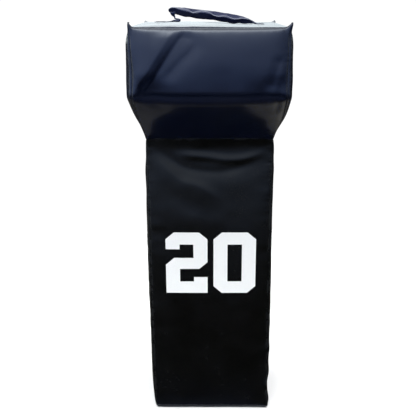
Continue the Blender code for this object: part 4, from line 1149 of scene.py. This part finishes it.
def turned_ring(node, x, y, z, profile, finish, sides=64):
    """A turned ring about an axis along Y, from a closed profile of radius and height."""
    angles = np.linspace(0, 2 * math.pi, sides, endpoint=False)
    points = [(x + radius * math.cos(a), y + rise, z + radius * math.sin(a))
              for radius, rise in profile for a in angles]
    mesh = plain_mesh(node + "_ring", points, wall_faces(len(profile), sides, closed=True))
    stands(solid(node + "_ring", mesh, finish, 50), "dummy", "brass", node)


def build_metal():
    nickel = metal_finish("nickel_plate", (0.60, 0.59, 0.56), (0.38, 0.37, 0.35), 0.16, 0.06)
    brass = metal_finish("brass_plate", (0.70, 0.52, 0.25), (0.42, 0.30, 0.15), 0.20, 1.0)
    refined("zip_slider", "zip_slider_body", "slider", nickel, 0.00022)
    refined("zip_pull", "zip_pull_tab", "pull", nickel)
    for node in ("zip_end_stop_left", "zip_end_stop_right", "zip_start_stop"):
        refined(node, node + "_clip", "dummy", nickel)
    for word, side in SIDES:
        for level, (x, z) in zip(("low", "high"), VENTS[side]):
            y = BACK + BACK_SWELL * float(swell((z - FOOT) / (TOP - FOOT)))
            turned_ring(f"vent_{level}_{word}_eyelet", x, y, z, EYELET, brass)
            turned_ring(f"vent_{level}_{word}_washer", x, y, z, WASHER, brass)


def build_back_stitches(thread):
    for word, side in SIDES:
        z = np.arange(*STITCHED, STITCH_PITCH / 2)
        points = back_skin(side, side * (zip_edge(z) + STITCH_SET), z)
        outs = np.cross(np.gradient(points, axis=0), [1.0, 0.0, 0.0])
        outs *= np.sign(outs[:, 1])[:, None]
        stitch_row(f"zip_edge_{word}_stitches", points, outs, thread, "dummy")


def back_skin(side, x, z):
    """Places on a back panel's cloth, with the same folds and puckers as the panel."""
    edge = zip_edge(z)
    u, v = (np.abs(x) - edge) / (back_half(z) - edge), (z - FOOT) / (TOP - FOOT)
    points, across, up = back(side)(u, v)
    from_edge = u * BACK_FLAT[0]
    lift = back_folds(side)(across, up) * ease(from_edge / SEAM_CALM)
    lift = lift + puckers(up, from_edge, BACK_SEED + 50 * side)
    points[..., 1] += lift - turned_in(from_edge) * SEAM_DEPTH
    return drawn_out(points)


# Camera, light and floor

# A camera fitted to the photo's outline: its downward pitch, turn and roll, its place, and its
# focal length in pixels of the photo's width
CAMERA_TURNS = (17.305, -0.375, -0.075)
CAMERA_PLACE = (0.0080, -2.2178, 1.3989)
FOCAL_PIXELS, PHOTO_PIXELS = 661.2, 416
SENSOR = 36
FLOOR_HALF = 1.8

# Sky colours by elevation in degrees
SKY_FRONT = ((-90, (0.020, 0.025, 0.06)), (-55, (0.040, 0.052, 0.115)), (-43, (0.042, 0.056, 0.110)),
             (-37, (0.003, 0.0035, 0.006)), (-34, (0.001, 0.001, 0.0005)), (-28, (0.007, 0.007, 0.004)),
             (-23, (0.022, 0.023, 0.024)), (-17, (0.055, 0.068, 0.11)), (-13, (0.100, 0.138, 0.28)),
             (-7, (0.16, 0.23, 0.43)), (-3.5, (0.23, 0.31, 0.54)), (1, (0.27, 0.35, 0.60)),
             (9, (0.33, 0.42, 0.66)), (18, (0.42, 0.52, 0.80)), (26, (0.60, 0.72, 1.00)),
             (36, (1.15, 1.32, 1.65)), (46, (3.1, 3.4, 3.8)), (53, (2.6, 2.8, 3.1)), (66, (1.05, 1.12, 1.25)))
SKY_REAR = ((-90, (0.004, 0.004, 0.003)), (-34, (0.020, 0.020, 0.018)), (-22, (0.050, 0.050, 0.046)),
            (-14, (0.014, 0.014, 0.018)), (-1.2, (0.012, 0.014, 0.02)), (1.0, (0.56, 0.63, 0.65)),
            (14, (0.64, 0.72, 0.74)), (32, (0.85, 0.92, 1.0)), (60, (1.10, 1.16, 1.25)))
SKY_ASIDE = ((-60, (0.008, 0.010, 0.012)), (-30, (0.044, 0.051, 0.064)), (-16, (0.098, 0.115, 0.145)),
             (-7, (0.23, 0.27, 0.34)), (-1, (0.46, 0.54, 0.67)), (5, (0.62, 0.69, 0.71)),
             (40, (0.82, 0.87, 0.92)))
SKY_FLANKS = ((0, (0.18, 0.25, 0.44)), (18, (0.34, 0.42, 0.62)), (36, (0.46, 0.54, 0.70)),
              (66, (0.70, 0.78, 0.92)))


def build_stage():
    scene = bpy.context.scene
    pitch, yaw, roll = (math.radians(a) for a in CAMERA_TURNS)
    ahead = Vector((math.sin(yaw) * math.cos(pitch), math.cos(yaw) * math.cos(pitch), -math.sin(pitch)))
    right = Vector((math.cos(yaw), -math.sin(yaw), 0))
    up = right.cross(ahead)
    right, up = right * math.cos(roll) + up * math.sin(roll), up * math.cos(roll) - right * math.sin(roll)
    camera = linked("camera", bpy.data.cameras.new("camera"))
    axes = Matrix((right, up, -ahead)).transposed().to_4x4()
    axes.translation = Vector(CAMERA_PLACE)
    camera.matrix_world = axes
    camera.data.sensor_width = SENSOR
    camera.data.lens = FOCAL_PIXELS / PHOTO_PIXELS * SENSOR
    camera.data.clip_end = 200
    scene.camera = camera
    scene.view_settings.view_transform = "Standard"

    corners = [(x * FLOOR_HALF, y * FLOOR_HALF, 0) for x, y in ((-1, -1), (1, -1), (1, 1), (-1, 1))]
    floor = linked("floor", plain_mesh("floor", corners, [(0, 1, 2, 3)]))
    pale = finish_nodes("pale_floor").surface(Base_Color=(0.92, 0.92, 0.92), Roughness=0.9)
    floor.data.materials.append(pale)
    floor.visible_glossy = False
    return scene


def build_light(scene):
    """Two lamps that light the cloth, and a sky that is there to be mirrored."""
    world = bpy.data.worlds.new("studio")
    scene.world = world
    world.cycles_visibility.diffuse = False
    n = owned_nodes(world)
    n.tree.nodes.clear()
    axes = n.add("SeparateXYZ", i0=n.add("TexCoord").outputs["Generated"]).outputs

    def ramp(stops):
        made = n.add("ValToRGB", Fac=n.ramp(axes["Z"], -1, 1))
        made.color_ramp.interpolation = "EASE"
        while len(made.color_ramp.elements) < len(stops):
            made.color_ramp.elements.new(0.5)
        for element, (elevation, colour) in zip(made.color_ramp.elements, stops):
            element.position = 0.5 + 0.5 * math.sin(math.radians(elevation))
            element.color = (*colour, 1)
        return made.outputs["Color"]

    def between(axis, low, high, to_low=0.0, to_high=1.0):
        return n.ramp(axes[axis], low, high, to_low, to_high, "SMOOTHSTEP")

    def product(first, *others):
        for other in others:
            first = n.calc("MULTIPLY", first, other)
        return first

    front = ramp(SKY_FRONT)
    # The bright part of the sky stands straight in front
    sky = n.mix(product(between("X", -0.75, -0.40), between("X", 0.75, 0.40)), ramp(SKY_FLANKS), front)
    sky = n.mix(between("Z", 0.05, 0.30), front, sky)
    sky = n.mix(between("Y", -0.55, 0.25), sky, ramp(SKY_REAR))
    # Soft light straight behind and straight beside the dummy, which its front never mirrors
    behind = product(between("X", -0.22, -0.06), between("X", 0.22, 0.06), between("Y", 0.60, 0.85))
    beside_low = product(between("Y", -0.45, -0.12), between("Y", 0.40, 0.10))
    soft = product(n.calc("MAXIMUM", behind, beside_low), between("Z", -0.62, -0.40))
    sky = n.mix(soft, sky, ramp(SKY_ASIDE))
    # Pale ground behind the dummy, seen in the ends of the head's underside
    paving = n.mix(between("X", 0.13, 0.25), (0.082, 0.082, 0.082), (0.34, 0.33, 0.29))
    sky = n.mix(product(between("Z", -0.66, -0.92), between("Y", -0.24, 0.28)), sky, paving)
    # The sky is brighter to the left
    lit = n.add("VectorMath", {"operation": "SCALE"}, i0=sky, Scale=between("X", -1.0, 1.0, 1.5, 0.5))
    room = n.add("Background", Color=lit.outputs[0], Strength=2.4).outputs[0]
    plain = n.add("Background", Color=(1, 1, 1), Strength=1.05).outputs[0]
    seen = n.add("LightPath").outputs["Is Camera Ray"]
    n.add("OutputWorld", Surface=n.add("MixShader", i0=seen, i1=room, i2=plain).outputs[0])

    for name, place, target, size, power, colour in (
            ("overhead_softbox", (0, -0.6, 4.2), (0, 0, 0), 5.0, 470, (1.0, 1.0, 1.0)),
            ("front_fill", (-1.5, -4.5, 2.2), (0, 0, 0.8), 2.0, 46, (0.95, 0.99, 0.99))):
        light = bpy.data.lights.new(name, "AREA")
        light.shape = "RECTANGLE"
        light.size = light.size_y = size
        light.energy = power
        light.color = colour
        lamp = linked(name, light)
        lamp.location = place
        lamp.rotation_euler = (Vector(target) - Vector(place)).to_track_quat("-Z", "Y").to_euler()
        lamp.visible_camera = lamp.visible_glossy = False


build_foam()
build_cover()
ink = ink_finish()
print_digit("number_two", [DIGIT_TWO], ink)
print_digit("number_nought", [DIGIT_NOUGHT, NOUGHT_HOLE], ink)
build_base()
sewing_thread = thread_finish()
build_handle(sewing_thread)
build_zip()
build_metal()
build_back_stitches(sewing_thread)
build_light(build_stage())
